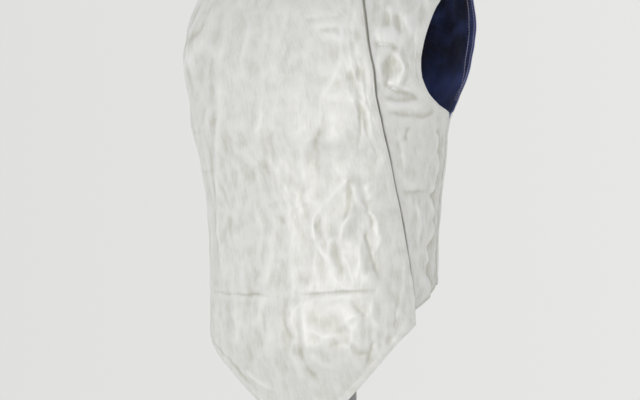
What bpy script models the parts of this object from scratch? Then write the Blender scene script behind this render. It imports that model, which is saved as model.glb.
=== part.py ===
"""Fencing lamé vest, filled out and standing on a plain display stand.

Units are metres. The wearer would face -Y, with the left hand on +X, and +Z is up. The origin is on the
underside of the stand's base, below the pole. Heights named "level" are measured from the underarm.

Each body panel is a grid on one flowing surface: a row of elliptical sections from hem to shoulder. A point
of the surface is named by the angle round the body and by its level. The outer face of the metallic cloth
lies on that surface, and the lining lies just inside it. The front over panel laps the under panel on the
wearer's left.
"""

import math

import bpy
import numpy as np

# Heights of the whole
UNDERARM_HEIGHT = 0.760
SHOULDER_LEVEL = 0.244
SHOULDER_Y = -0.015
SHOULDER_TURN = 0.006
HEM_SIDE_LEVEL = -0.233

# Thickness of each layer and the play between neighbours
LAME_WALL = 0.0012
LINING_WALL = 0.0010
PLAY = 0.0003
STACK = LAME_WALL + PLAY + LINING_WALL

# Where the panels end, in degrees round the body
SIDE_ANGLE = 104.0
NECK_ANGLE = 23.0
SIDE_RADIUS = 0.115

# Neckline, as two half ellipses seen from above, and the band that stands on it
NECK_HALF_WIDTH = 0.0758
NECK_FRONT_REACH = 0.097
NECK_BACK_REACH = 0.040
COLLAR_HEIGHT = 0.040
COLLAR_WALL = 0.0024
COLLAR_PLAY = 0.0014
COLLAR_LEAN = 0.10
COLLAR_ROWS = 4
COLLAR_EVENING = 4

# Sections of the front, from the flap's tip to the shoulder line
SECTION_COLUMNS = ("level", "middle_level", "half_width", "depth", "centre_y")
FRONT_SECTIONS = (
    (-0.450, -0.450, 0.171, 0.106, -0.020),
    (-0.399, -0.399, 0.172, 0.106, -0.027),
    (-0.357, -0.357, 0.173, 0.106, -0.043),
    (-0.310, -0.310, 0.173, 0.106, -0.061),
    (-0.238, -0.238, 0.173, 0.106, -0.065),
    (-0.194, -0.194, 0.173, 0.106, -0.065),
    (-0.130, -0.130, 0.177, 0.110, -0.064),
    (-0.065, -0.065, 0.186, 0.117, -0.067),
    (-0.014, -0.014, 0.194, 0.123, -0.074),
    (0.017, 0.017, 0.197, 0.123, -0.074),
    (0.067, 0.069, 0.210, 0.120, -0.073),
    (0.114, 0.125, 0.210, 0.113, -0.066),
    (0.157, 0.178, 0.202, 0.100, -0.053),
    (0.195, 0.226, 0.195, 0.072, -0.041),
    (0.224, 0.265, 0.1945, 0.046, -0.030),
    (0.240, 0.289, 0.194, 0.021, -0.021),
    (0.244, 0.297, 0.194, 0.000, -0.015),
)
BACK_SECTIONS = (
    (-0.238, -0.238, 0.173, 0.106, -0.065),
    (-0.194, -0.194, 0.173, 0.106, -0.065),
    (-0.130, -0.130, 0.177, 0.110, -0.064),
    (-0.065, -0.065, 0.186, 0.117, -0.067),
    (-0.014, -0.014, 0.194, 0.123, -0.074),
    (0.022, 0.022, 0.205, 0.110, -0.060),
    (0.046, 0.047, 0.211, 0.093, -0.040),
    (0.067, 0.069, 0.212, 0.080, -0.025),
    (0.122, 0.132, 0.212, 0.062, -0.005),
    (0.157, 0.178, 0.204, 0.056, -0.006),
    (0.195, 0.229, 0.198, 0.050, -0.009),
    (0.224, 0.266, 0.195, 0.040, -0.011),
    (0.240, 0.289, 0.194, 0.023, -0.013),
    (0.244, 0.297, 0.194, 0.000, -0.015),
)

# Side edge of each panel above the underarm, where it is the armhole. Rows are (level, angle)
FRONT_ARMHOLE = (
    (0.000, 104.0), (0.0055, 92.0), (0.017, 80.5), (0.035, 71.5), (0.051, 67.0), (0.067, 65.5),
    (0.089, 66.0), (0.114, 67.5), (0.137, 71.0), (0.157, 77.0), (0.195, 83.0), (0.224, 86.0), (0.244, 90.0),
)
BACK_ARMHOLE = (
    (0.000, 76.0), (0.004, 72.5), (0.022, 69.0), (0.046, 66.6), (0.067, 66.0), (0.092, 66.0),
    (0.122, 66.2), (0.157, 72.0), (0.195, 78.0), (0.224, 83.0), (0.244, 90.0),
)

# Lap edge of the over panel, from the flap's corner to the neck. Rows are (level, angle)
LAP_EDGE = (
    (-0.246, 71.5), (-0.194, 67.0), (-0.144, 62.0), (-0.089, 56.0), (-0.014, 49.5), (0.085, 39.3),
    (0.120, 35.8), (0.146, 33.0), (0.195, 27.5), (0.224, 24.5), (0.244, 23.0),
)
# How far the over panel stands off the under panel at its lap edge. Rows are (level, lift)
LAP_LIFT = (
    (-0.289, 0.0010), (-0.150, 0.0018), (-0.070, 0.0050), (0.060, 0.0065), (0.150, 0.0050), (0.230, 0.0),
)
LAP_LIFT_REACH = 22.0
LAP_PLAY = 0.0025
LAP_RAMP = 13.0

# Hem lines. Rows are (angle round the body, level)
OVER_HEM = (
    (-104.0, -0.233), (-90.0, -0.258), (-76.0, -0.286), (-66.0, -0.309), (-42.0, -0.352), (-24.0, -0.393),
    (-9.0, -0.438), (-3.0, -0.446), (3.0, -0.446), (9.0, -0.438), (25.5, -0.393), (43.0, -0.348),
    (60.0, -0.309), (71.5, -0.286),
)
UNDER_HEM = ((40.0, -0.276), (60.0, -0.274), (74.0, -0.266), (90.0, -0.248), (104.0, HEM_SIDE_LEVEL))
BACK_HEM = ((-76.0, HEM_SIDE_LEVEL), (76.0, HEM_SIDE_LEVEL))

# Largest folds, each a soft ridge (height above 0) or trough along a line
FOLD_RADIUS = 0.150
FOLD_FADE = 0.22
FOLD_OVERSHOOT = 0.45
FOLD_TOP_FADE = 0.050
FOLD_COLUMNS = ("start_angle", "start_level", "end_angle", "end_level", "bow", "half_width", "height")
FRONT_FOLDS = (
    (-20.0, 0.150, -33.0, -0.060, 0.004, 0.018, 0.0045),
    (-33.0, -0.050, -44.0, -0.225, 0.004, 0.016, 0.0040),
    (-36.0, 0.150, -52.0, -0.190, 0.010, 0.020, -0.0040),
    (-66.0, 0.080, -34.0, 0.150, 0.006, 0.010, 0.0040),
    (-62.0, 0.045, -40.0, 0.090, 0.006, 0.010, -0.0030),
    (-78.0, -0.251, 72.0, -0.249, 0.000, 0.008, -0.0022),
    (2.0, -0.255, 2.0, -0.330, 0.000, 0.009, 0.0025),
    (32.0, -0.075, 26.0, -0.175, -0.016, 0.010, 0.0040),
    (36.0, -0.090, 46.0, -0.225, 0.014, 0.010, 0.0035),
    (36.0, -0.135, 37.0, -0.235, 0.000, 0.011, -0.0030),
    (-6.0, 0.120, -2.0, -0.100, 0.008, 0.016, 0.0030),
    (12.0, 0.090, 20.0, -0.090, -0.006, 0.014, -0.0028),
    (60.0, 0.045, 84.0, 0.014, -0.006, 0.008, 0.0040),
    (66.0, -0.005, 98.0, -0.004, -0.005, 0.009, 0.0035),
    (84.0, -0.060, 92.0, -0.200, 0.010, 0.012, -0.0030),
)
BACK_FOLDS = (
    (-30.0, 0.060, -38.0, -0.150, 0.008, 0.018, 0.0040),
    (34.0, 0.020, 30.0, -0.180, -0.008, 0.018, 0.0040),
    (-4.0, 0.150, 4.0, -0.060, 0.006, 0.020, -0.0040),
    (-64.0, -0.020, -40.0, -0.080, 0.006, 0.014, -0.0035),
    (62.0, -0.030, 42.0, -0.100, -0.006, 0.014, -0.0035),
    (-74.0, -0.160, 74.0, -0.164, 0.000, 0.012, -0.0025),
)

# Small steps that give a surface's direction
STEP_ANGLE = 0.4
STEP_LEVEL = 0.0008

# Search for the level where a column ends
BELOW_NECK_LEVEL = 0.150
HALVINGS = 40

# Grid of each panel, in cells
HEM_ROWS = 12
ARMHOLE_ROWS = 13
OVER_SIDE_CELLS = 8
OVER_MIDDLE_CELLS = 16
UNDER_HIDDEN_CELLS = 5
HIDDEN_SHARE = UNDER_HIDDEN_CELLS / OVER_MIDDLE_CELLS
UNDER_SIDE_CELLS = 8
BACK_SIDE_CELLS = 6
BACK_MIDDLE_CELLS = 6
ARMHOLE_BUNCHING = 1.5
NECK_CELLS = 12

# Cloth rows lie closer at the foot of the armhole and where the shoulder turns over: (level, crowding)
LENGTH_ANGLE = 45.0
LENGTH_STEPS = 400
CROWDING = ((0.0, 3.0), (0.020, 2.5), (0.040, 1.0), (0.210, 1.0), (0.220, 3.5), (0.244, 3.5))

# Display stand
BASE_RADIUS = 0.160
BASE_THICKNESS = 0.012
BASE_EDGE_ROUND = 0.005
BOSS_RADIUS = 0.024
BOSS_TOP = 0.040
BOSS_ROUND = 0.003
SOCKET_FLOOR = 0.010
POLE_RADIUS = 0.0125
FLANGE_RADIUS = 0.018
FLANGE_THICKNESS = 0.006
FLANGE_TAPER = 0.004
ROUND_SIDES = 48
POLE_SIDES = 24
# Top of the yoke. Rows are (level, clearance below the front, clearance below the back)
YOKE_TOP = (
    (0.229, 0.0090, 0.0110), (0.236, 0.0068, 0.0085), (0.241, 0.0042, 0.0058), (0.2437, 0.0012, 0.0015),
)
YOKE_END = ((0.80, 0.006), (0.45, 0.010))
YOKE_ANGLES = 62.0
YOKE_SECTIONS = 18
YOKE_DEPTH = 0.012
YOKE_FLAT_LEVEL = 0.249
YOKE_NARROWING = 0.80

# Materials: colour (linear), roughness, metallic
LAME_LOOK = ((0.70, 0.70, 0.68, 1.0), 0.42, 0.85)
LINING_LOOK = ((0.022, 0.031, 0.078, 1.0), 0.80, 0.0)
STEEL_LOOK = ((0.33, 0.33, 0.33, 1.0), 0.45, 0.0)
YOKE_LOOK = ((0.62, 0.62, 0.60, 1.0), 0.55, 0.0)
SHARP_EDGE = 40.0


def clear_scene():
    for item in list(bpy.data.objects):
        bpy.data.objects.remove(item, do_unlink=True)


def flowing(table, wanted, column=1):
    """Smooth curve through a table's rows that never overshoots them: cubic pieces with limited slopes."""
    rows = np.array(table, dtype=float)
    known, values = rows[:, 0], rows[:, column]
    steps = np.diff(known)
    secants = np.diff(values) / steps
    slopes = np.zeros(len(known))
    same_way = secants[:-1] * secants[1:] > 0
    weight_left = 2 * steps[1:] + steps[:-1]
    weight_right = steps[1:] + 2 * steps[:-1]
    blend = np.divide(weight_left, secants[:-1], out=np.zeros_like(steps[1:]), where=same_way)
    blend += np.divide(weight_right, secants[1:], out=np.zeros_like(steps[1:]), where=same_way)
    slopes[1:-1] = np.divide(weight_left + weight_right, blend, out=np.zeros_like(blend), where=same_way)
    slopes[0], slopes[-1] = secants[0], secants[-1]
    place = np.clip(wanted, known[0], known[-1])
    piece = np.clip(np.searchsorted(known, place) - 1, 0, len(steps) - 1)
    span = steps[piece]
    part = (place - known[piece]) / span
    start = (1 + 2 * part) * (1 - part) ** 2 * values[piece] + part * (1 - part) ** 2 * span * slopes[piece]
    end = part**2 * (3 - 2 * part) * values[piece + 1] - part**2 * (1 - part) * span * slopes[piece + 1]
    return start + end


def straight(table, wanted):
    rows = np.array(table, dtype=float)
    return np.interp(wanted, rows[:, 0], rows[:, 1])


def soft_step(part):
    part = np.clip(part, 0.0, 1.0)
    return part * part * (3 - 2 * part)


class Surface:
    """One side of the body: sections, side edge and folds. `facing` is -1 for the front, 1 for the back."""

    def __init__(self, sections, armhole, side_angle, folds, facing):
        self.sections = sections
        self.armhole = armhole
        self.side_angle = side_angle
        self.folds = folds
        self.facing = facing

    def edge_angle(self, level):
        return np.where(level <= 0.0, self.side_angle, flowing(self.armhole, level))

    def bare_point(self, angle, level):
        """Point of the surface with no fold: an ellipse at each level, bowed up at the middle."""
        turn = np.radians(angle)
        sizes = [flowing(self.sections, level, i) for i in range(1, len(SECTION_COLUMNS))]
        middle_level, half_width, depth, centre_y = sizes
        x = half_width * np.sin(turn)
        y = centre_y + self.facing * depth * np.cos(turn)
        edge_x = half_width * np.sin(np.radians(self.edge_angle(level)))
        z = level + (middle_level - level) * (1 - (x / edge_x) ** 2)
        return np.stack([x, y, z + UNDERARM_HEIGHT], axis=-1)

    def normal(self, angle, level):
        """Outward direction, from two small steps on the surface."""
        low = np.minimum(level, SHOULDER_LEVEL - STEP_LEVEL)
        across = self.bare_point(angle + STEP_ANGLE, low) - self.bare_point(angle - STEP_ANGLE, low)
        upward = self.bare_point(angle, low + STEP_LEVEL) - self.bare_point(angle, low - STEP_LEVEL)
        out = -self.facing * np.cross(across, upward)
        at_shoulder = soft_step((level - SHOULDER_LEVEL + SHOULDER_TURN) / SHOULDER_TURN)
        out[..., 1] *= 1 - at_shoulder
        return out / np.linalg.norm(out, axis=-1, keepdims=True)

    def fold_height(self, angle, level):
        """Sum of the folds: a bell across each fold's line, which fades out at the two ends."""
        around, total = FOLD_RADIUS * np.radians(angle), np.zeros_like(level)
        for row in self.folds:
            fold = dict(zip(FOLD_COLUMNS, row))
            start = np.array([FOLD_RADIUS * math.radians(fold["start_angle"]), fold["start_level"]])
            end = np.array([FOLD_RADIUS * math.radians(fold["end_angle"]), fold["end_level"]])
            length = np.linalg.norm(end - start)
            along_axis = (end - start) / length
            along = (around - start[0]) * along_axis[0] + (level - start[1]) * along_axis[1]
            beside = (around - start[0]) * along_axis[1] - (level - start[1]) * along_axis[0]
            part = along / length
            beside = beside - fold["bow"] * np.sin(np.pi * np.clip(part, 0.0, 1.0))
            fade = soft_step(part / FOLD_FADE + FOLD_OVERSHOOT)
            fade *= soft_step((1 - part) / FOLD_FADE + FOLD_OVERSHOOT)
            total += fold["height"] * fade * np.exp(-((beside / fold["half_width"]) ** 2))
        return total * soft_step((SHOULDER_LEVEL - level) / FOLD_TOP_FADE)

    def layer(self, angle, level, rise):
        """Grid of points that lie `rise` outside the folded surface."""
        out = self.normal(angle, level)
        lift = self.fold_height(angle, level) + rise
        return self.bare_point(angle, level) + out * lift[..., None]

    def top_level(self, angle_at, reach):
        """Level where each column meets the neckline or the shoulder seam, found by halving."""
        low = np.full(angle_at(0.0).shape, BELOW_NECK_LEVEL)
        high = np.full(low.shape, SHOULDER_LEVEL)
        for _ in range(HALVINGS):
            middle = (low + high) / 2
            point = self.bare_point(angle_at(middle), middle)
            forward = self.facing * (point[..., 1] - SHOULDER_Y)
            round_neck = np.hypot(point[..., 0] / NECK_HALF_WIDTH, forward / reach)
            outside = (round_neck > 1) & (forward > PLAY / 2)
            low, high = np.where(outside, middle, low), np.where(outside, high, middle)
        return low


FRONT = Surface(FRONT_SECTIONS, FRONT_ARMHOLE, SIDE_ANGLE, FRONT_FOLDS, -1)
BACK = Surface(BACK_SECTIONS, BACK_ARMHOLE, 180.0 - SIDE_ANGLE, BACK_FOLDS, 1)
SEAM_PLAY_ANGLE = math.degrees(PLAY / 2 / SIDE_RADIUS)


def lap_angle(level):
    return flowing(LAP_EDGE, level)


def side_columns(surface, part, inner_angle, level):
    """Angles from an inner line (part 0) to the side edge (part 1), bunched up only near the armhole."""
    widest = surface.side_angle
    bunching = (widest - surface.edge_angle(level)) * part**ARMHOLE_BUNCHING
    return inner_angle + (widest - inner_angle - SEAM_PLAY_ANGLE) * part - bunching


def over_angle(column, level):
    """Over panel: columns -1 to 0 run from the right side edge to the neck, 0 to 1 on to the lap."""
    side = -side_columns(FRONT, np.clip(-column, 0, 1), NECK_ANGLE, level)
    middle = -NECK_ANGLE + (lap_angle(level) + NECK_ANGLE) * np.clip(column, 0, 1)
    return np.where(column < 0, side, middle)


def under_angle(column, level):
    """Under panel: columns -1 to 0 are hidden below the lap, 0 to 1 run from there to the left side edge."""
    hidden = lap_angle(level) + (lap_angle(level) + NECK_ANGLE) * HIDDEN_SHARE * np.clip(column, -1, 0)
    side = side_columns(FRONT, np.clip(column, 0, 1), lap_angle(level), level)
    return np.where(column < 0, hidden, side)


def back_angle(column, level):
    """Back panel: columns -2 to -1 and 1 to 2 are the sides, -1 to 1 lies below the neckline."""
    outer = side_columns(BACK, np.clip(np.abs(column) - 1, 0, 1), NECK_ANGLE, level)
    return np.where(np.abs(column) <= 1, NECK_ANGLE * column, np.sign(column) * outer)


def overlap_rise(angle, level):
    """Rise of the over panel where it lies on the under panel, and its lift towards the lap edge."""
    from_hidden_edge = angle - under_angle(-1.0, level)
    on_under_panel = (STACK + LAP_PLAY) * soft_step(from_hidden_edge / LAP_RAMP + 1.1)
    from_lap = lap_angle(level) - angle
    return on_under_panel + flowing(LAP_LIFT, level) * (1 - soft_step(from_lap / LAP_LIFT_REACH))


def panel_grid(surface, angle_at, columns, hem, reach):
    """Angle and level of each grid point, from the hem (row 0) to the neckline or shoulder (last row).

    One row lies at the underarm. The rows above it are even steps of cloth length, crowded by the table.
    """
    hem_level = straight(hem, angle_at(columns, np.full(columns.shape, FRONT_SECTIONS[0][0])))
    top = surface.top_level(lambda level: angle_at(columns, level + 0 * columns), reach)
    lower = hem_level * (1 - np.linspace(0.0, 1.0, HEM_ROWS + 1)[:-1, None])
    dense = np.linspace(0.0, SHOULDER_LEVEL, LENGTH_STEPS)
    line = surface.bare_point(np.full(dense.shape, LENGTH_ANGLE), dense)
    steps = np.linalg.norm(np.diff(line, axis=0), axis=1)
    length = np.concatenate([[0.0], np.cumsum(steps * straight(CROWDING, dense[1:]))])
    wanted = np.interp(top, dense, length) * np.linspace(0.0, 1.0, ARMHOLE_ROWS + 1)[:, None]
    upper = np.interp(wanted, length, dense)
    level = np.concatenate([lower, upper])
    return angle_at(np.broadcast_to(columns, level.shape), level), level


def grid_triangles(rows, columns):
    """Two triangles for each cell of a grid, all with the same diagonal."""
    index = np.arange(rows * columns).reshape(rows, columns)
    a, b = index[:-1, :-1].ravel(), index[:-1, 1:].ravel()
    c, d = index[1:, 1:].ravel(), index[1:, :-1].ravel()
    return np.concatenate([np.stack([a, b, c], 1), np.stack([a, c, d], 1)])


def border(rows, columns):
    """Grid points round the edge of a grid, in order."""
    index = np.arange(rows * columns).reshape(rows, columns)
    return np.concatenate([index[0, :-1], index[:-1, -1], index[-1, :0:-1], index[:0:-1, 0]])


def signed_volume(points, triangles):
    a, b, c = (points[triangles[:, i]] for i in range(3))
    return float(np.einsum("ij,ij->i", a, np.cross(b, c)).sum() / 6)


def finish_object(name, points, triangles, material):
    """Object from a closed set of triangles, with its faces turned outwards."""
    if signed_volume(points, triangles) < 0:
        triangles = triangles[:, ::-1]
    mesh = bpy.data.meshes.new(name)
    mesh.from_pydata(points.tolist(), [], triangles.tolist())
    mesh.update()
    mesh.shade_smooth()
    mesh.set_sharp_from_angle(angle=math.radians(SHARP_EDGE))
    mesh.materials.append(material)
    made = bpy.data.objects.new(name, mesh)
    bpy.context.scene.collection.objects.link(made)
    return made


def cloth_wall(name, outer, inner, material):
    """Closed wall between two grids of the same layout."""
    rows, columns = outer.shape[:2]
    count = rows * columns
    faces = grid_triangles(rows, columns)
    rim = border(rows, columns)
    next_rim = np.roll(rim, -1)
    walls = np.concatenate(
        [np.stack([rim, rim + count, next_rim + count], 1), np.stack([rim, next_rim + count, next_rim], 1)]
    )
    points = np.concatenate([outer.reshape(-1, 3), inner.reshape(-1, 3)])
    triangles = np.concatenate([faces, faces[:, ::-1] + count, walls])
    return finish_object(name, points, triangles, material)


def make_material(name, look):
    colour, roughness, metallic = look
    material = bpy.data.materials.new(name)
    material.use_nodes = True
    shader = material.node_tree.nodes["Principled BSDF"]
    shader.inputs["Base Color"].default_value = colour
    shader.inputs["Roughness"].default_value = roughness
    shader.inputs["Metallic"].default_value = metallic
    material.diffuse_color = colour
    return material


def make_panel(name, surface, angle_at, columns, hem, reach, rise_at=None):
    """Metallic cloth and its lining, as two walls on the same grid."""
    angle, level = panel_grid(surface, angle_at, columns, hem, reach)
    rise = rise_at(angle, level) if rise_at else np.zeros_like(level)
    depths = (0.0, LAME_WALL, LAME_WALL + PLAY, STACK)
    faces = [surface.layer(angle, level, rise - depth) for depth in depths]
    cloth_wall(name, faces[0], faces[1], make_material(name, LAME_LOOK))
    cloth_wall(name + "_lining", faces[2], faces[3], make_material(name + "_lining", LINING_LOOK))


def make_panels():
    over_columns = np.concatenate(
        [np.linspace(-1, 0, OVER_SIDE_CELLS + 1)[:-1], np.linspace(0, 1, OVER_MIDDLE_CELLS + 1)]
    )
    under_columns = np.concatenate(
        [np.linspace(-1, 0, UNDER_HIDDEN_CELLS + 1)[:-1], np.linspace(0, 1, UNDER_SIDE_CELLS + 1)]
    )
    back_columns = np.concatenate(
        [
            np.linspace(-2, -1, BACK_SIDE_CELLS + 1)[:-1],
            np.linspace(-1, 1, BACK_MIDDLE_CELLS + 1)[:-1],
            np.linspace(1, 2, BACK_SIDE_CELLS + 1),
        ]
    )
    make_panel("front_over", FRONT, over_angle, over_columns, OVER_HEM, NECK_FRONT_REACH, overlap_rise)
    make_panel("front_under", FRONT, under_angle, under_columns, UNDER_HEM, NECK_FRONT_REACH)
    make_panel("back", BACK, back_angle, back_columns, BACK_HEM, NECK_BACK_REACH)


def neckline(surface, angles, reach):
    """Points where one side of the body meets the neckline."""
    level = surface.top_level(lambda level: angles + 0 * level, reach)
    return surface.bare_point(angles, level)


def make_collar():
    """Band just inside the neckline, which stands up from the panels' edge and leans in a little."""
    slit = math.degrees(PLAY / NECK_HALF_WIDTH)
    front = neckline(FRONT, np.linspace(NECK_ANGLE - slit, -NECK_ANGLE, NECK_CELLS + 1), NECK_FRONT_REACH)
    back = neckline(BACK, np.linspace(-NECK_ANGLE, NECK_ANGLE - slit, NECK_CELLS + 1), NECK_BACK_REACH)
    point = np.concatenate([front[:-1], back])
    outward = point - np.array([0.0, SHOULDER_Y + (NECK_BACK_REACH - NECK_FRONT_REACH) / 2, 0.0])
    outward[:, 2] = 0.0
    outward /= np.linalg.norm(outward, axis=-1, keepdims=True)
    foot = point - outward * COLLAR_PLAY + np.array([0.0, 0.0, COLLAR_PLAY])
    weights = np.hanning(2 * COLLAR_EVENING + 3)[1:-1]
    reach = COLLAR_EVENING
    padded = np.concatenate([foot[-1 - reach : -1, 2], foot[:, 2], foot[1 : 1 + reach, 2]])
    top = foot - outward * COLLAR_LEAN * COLLAR_HEIGHT
    top[:, 2] = np.convolve(padded, weights / weights.sum(), mode="valid") + COLLAR_HEIGHT
    outer = np.array([foot + (top - foot) * part for part in np.linspace(0.0, 1.0, COLLAR_ROWS + 1)])
    cloth_wall("collar", outer, outer - outward * COLLAR_WALL, make_material("collar", LAME_LOOK))


def lofted(name, rings, first, last, material):
    """Solid through a row of closed rings, with a fan to one point at each end."""
    count, around = rings.shape[:2]
    index = np.arange(count * around).reshape(count, around)
    after = np.roll(index, -1, axis=1)
    low, high = index[:-1].ravel(), index[1:].ravel()
    low_after, high_after = after[:-1].ravel(), after[1:].ravel()
    walls = [np.stack([low, low_after, high_after], 1), np.stack([low, high_after, high], 1)]
    cap_first = np.stack([np.full(around, index.size), after[0], index[0]], 1)
    cap_last = np.stack([np.full(around, index.size + 1), index[-1], after[-1]], 1)
    points = np.concatenate([rings.reshape(-1, 3), [first, last]])
    return finish_object(name, points, np.concatenate([*walls, cap_first, cap_last]), material)


def turned(name, profile, sides, material):
    """Solid of revolution from (radius, height) points that start and end on the pole's axis."""
    turns = np.linspace(0, 2 * np.pi, sides, endpoint=False)
    radius, height = np.array(profile[1:-1]).T[:, :, None]
    rings = np.stack([radius * np.cos(turns), radius * np.sin(turns), height + 0 * turns], axis=-1)
    return lofted(name, rings, [0, 0, profile[0][1]], [0, 0, profile[-1][1]], material)


def rounded(radius, height, round_size, steps=4):
    """Quarter round from the side (below) to the top face of a turned piece."""
    turns = np.linspace(0, np.pi / 2, steps + 1)
    return [
        (radius - round_size + round_size * math.cos(t), height - round_size + round_size * math.sin(t))
        for t in turns
    ]


def make_base():
    """Round foot with a boss and a blind socket for the pole."""
    socket_radius = POLE_RADIUS + PLAY
    profile = [(0.0, 0.0), (BASE_RADIUS - BASE_EDGE_ROUND / 2, 0.0), (BASE_RADIUS, BASE_EDGE_ROUND / 2)]
    profile += rounded(BASE_RADIUS, BASE_THICKNESS, BASE_EDGE_ROUND)
    profile += [(BOSS_RADIUS + BOSS_ROUND, BASE_THICKNESS), (BOSS_RADIUS, BASE_THICKNESS + BOSS_ROUND)]
    profile += rounded(BOSS_RADIUS, BOSS_TOP, BOSS_ROUND)
    profile += [(socket_radius, BOSS_TOP), (socket_radius, SOCKET_FLOOR), (0.0, SOCKET_FLOOR)]
    turned("stand_base", profile, ROUND_SIDES, make_material("stand_base", STEEL_LOOK))


def make_pole():
    """Straight tube with a flange under the yoke."""
    top = UNDERARM_HEIGHT + YOKE_FLAT_LEVEL - PLAY
    flange_foot = top - FLANGE_THICKNESS
    profile = [(0.0, SOCKET_FLOOR + PLAY), (POLE_RADIUS, SOCKET_FLOOR + PLAY)]
    profile += [(POLE_RADIUS, flange_foot - FLANGE_TAPER), (FLANGE_RADIUS, flange_foot)]
    profile += [(FLANGE_RADIUS, top), (0.0, top)]
    turned("stand_pole", profile, POLE_SIDES, make_material("stand_pole", STEEL_LOOK))


def yoke_section(angle):
    """Closed ring of one section of the yoke: a top that follows the shoulders, and a flat underside."""
    levels, front_clearance, back_clearance = np.array(YOKE_TOP).T
    turn = np.full(levels.shape, angle)
    front = FRONT.bare_point(turn, levels) - FRONT.normal(turn, levels) * (STACK + front_clearance)[:, None]
    back = BACK.bare_point(turn, levels) - BACK.normal(turn, levels) * (STACK + back_clearance)[:, None]
    top = np.concatenate([front, back[::-1]])
    under_level = np.minimum(YOKE_FLAT_LEVEL + UNDERARM_HEIGHT, min(front[0, 2], back[0, 2]) - YOKE_DEPTH)
    middle_y = (front[0, 1] + back[0, 1]) / 2
    under = np.array([back[0], front[0]])
    under[:, 1] = middle_y + (under[:, 1] - middle_y) * YOKE_NARROWING
    under[:, 2] = under_level
    return np.concatenate([top, under])


def make_yoke():
    """Shoulder yoke: sections along the shoulders, drawn in to a round end at each tip."""
    angles = np.linspace(-YOKE_ANGLES, YOKE_ANGLES, YOKE_SECTIONS + 1)
    rings = [yoke_section(a) for a in angles]
    for end, way in ((0, -1), (-1, 1)):
        ring = rings[end]
        centre = ring.mean(axis=0)
        for shrink, push in YOKE_END:
            smaller = centre + (ring - centre) * shrink + np.array([way * push, 0.0, 0.0])
            rings.insert(0, smaller) if way < 0 else rings.append(smaller)
    first, last = rings[0].mean(axis=0), rings[-1].mean(axis=0)
    lofted("stand_yoke", np.array(rings), first, last, make_material("stand_yoke", YOKE_LOOK))


clear_scene()
make_panels()
make_collar()
make_base()
make_pole()
make_yoke()
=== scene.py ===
import math

import bpy
import numpy as np
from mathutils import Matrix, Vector


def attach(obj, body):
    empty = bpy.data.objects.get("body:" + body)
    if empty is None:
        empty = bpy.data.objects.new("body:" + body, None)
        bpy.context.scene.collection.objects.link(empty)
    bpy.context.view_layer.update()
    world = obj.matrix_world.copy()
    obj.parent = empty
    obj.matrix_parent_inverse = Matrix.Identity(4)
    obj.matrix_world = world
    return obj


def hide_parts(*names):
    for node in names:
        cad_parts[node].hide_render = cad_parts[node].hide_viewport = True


# Fencing lamé vest on a plain display stand. Metres, +Z up; the wearer would face -Y, left hand on +X.
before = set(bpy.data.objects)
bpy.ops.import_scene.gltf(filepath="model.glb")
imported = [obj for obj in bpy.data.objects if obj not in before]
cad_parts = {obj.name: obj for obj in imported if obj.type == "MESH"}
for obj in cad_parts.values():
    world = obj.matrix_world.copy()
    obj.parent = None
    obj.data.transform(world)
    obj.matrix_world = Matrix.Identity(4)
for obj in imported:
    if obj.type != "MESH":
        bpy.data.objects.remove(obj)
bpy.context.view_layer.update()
print("frame loaded:", len(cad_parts), "nodes")

# The vest's form, the same as the CAD solids'. Levels are heights from the underarm
form = {
    "underarm": 0.760,  # height of the underarm above the floor
    "shoulder": 0.244,
    "shoulderY": -0.015,
    "shoulderTurn": 0.006,
    "cloth": 0.0012,  # wall of the metallic cloth
    "play": 0.0003,
    "liningDepth": 0.0025,  # from the cloth's face to the lining's inner face
    "neckAngle": 23.0,
    "neckHalfWidth": 0.0758,
    "neckFront": 0.097,
    "neckBack": 0.040,
    "foldRadius": 0.150,  # turns an angle into a distance round the body
}
# Rows: level, level at the middle, half width, depth, centre y
frontSections = (
    (-0.450, -0.450, 0.171, 0.106, -0.020), (-0.399, -0.399, 0.172, 0.106, -0.027),
    (-0.357, -0.357, 0.173, 0.106, -0.043), (-0.310, -0.310, 0.173, 0.106, -0.061),
    (-0.238, -0.238, 0.173, 0.106, -0.065), (-0.194, -0.194, 0.173, 0.106, -0.065),
    (-0.130, -0.130, 0.177, 0.110, -0.064), (-0.065, -0.065, 0.186, 0.117, -0.067),
    (-0.014, -0.014, 0.194, 0.123, -0.074), (0.017, 0.017, 0.197, 0.123, -0.074),
    (0.067, 0.069, 0.210, 0.120, -0.073), (0.114, 0.125, 0.210, 0.113, -0.066),
    (0.157, 0.178, 0.202, 0.100, -0.053), (0.195, 0.226, 0.195, 0.072, -0.041),
    (0.224, 0.265, 0.1945, 0.046, -0.030), (0.240, 0.289, 0.194, 0.021, -0.021),
    (0.244, 0.297, 0.194, 0.000, -0.015),
)
backSections = frontSections[4:9] + (
    (0.022, 0.022, 0.205, 0.110, -0.060),
    (0.046, 0.047, 0.211, 0.093, -0.040), (0.067, 0.069, 0.212, 0.080, -0.025),
    (0.122, 0.132, 0.212, 0.062, -0.005), (0.157, 0.178, 0.204, 0.056, -0.006),
    (0.195, 0.229, 0.198, 0.050, -0.009), (0.224, 0.266, 0.195, 0.040, -0.011),
    (0.240, 0.289, 0.194, 0.023, -0.013), (0.244, 0.297, 0.194, 0.000, -0.015),
)
# Rows: level, angle of the armhole's edge
frontArmhole = (
    (0.000, 104.0), (0.0055, 92.0), (0.017, 80.5), (0.035, 71.5), (0.051, 67.0), (0.067, 65.5),
    (0.089, 66.0), (0.114, 67.5), (0.137, 71.0), (0.157, 77.0), (0.195, 83.0), (0.224, 86.0), (0.244, 90.0),
)
backArmhole = (
    (0.000, 76.0), (0.004, 72.5), (0.022, 69.0), (0.046, 66.6), (0.067, 66.0), (0.092, 66.0),
    (0.122, 66.2), (0.157, 72.0), (0.195, 78.0), (0.224, 83.0), (0.244, 90.0),
)
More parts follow.
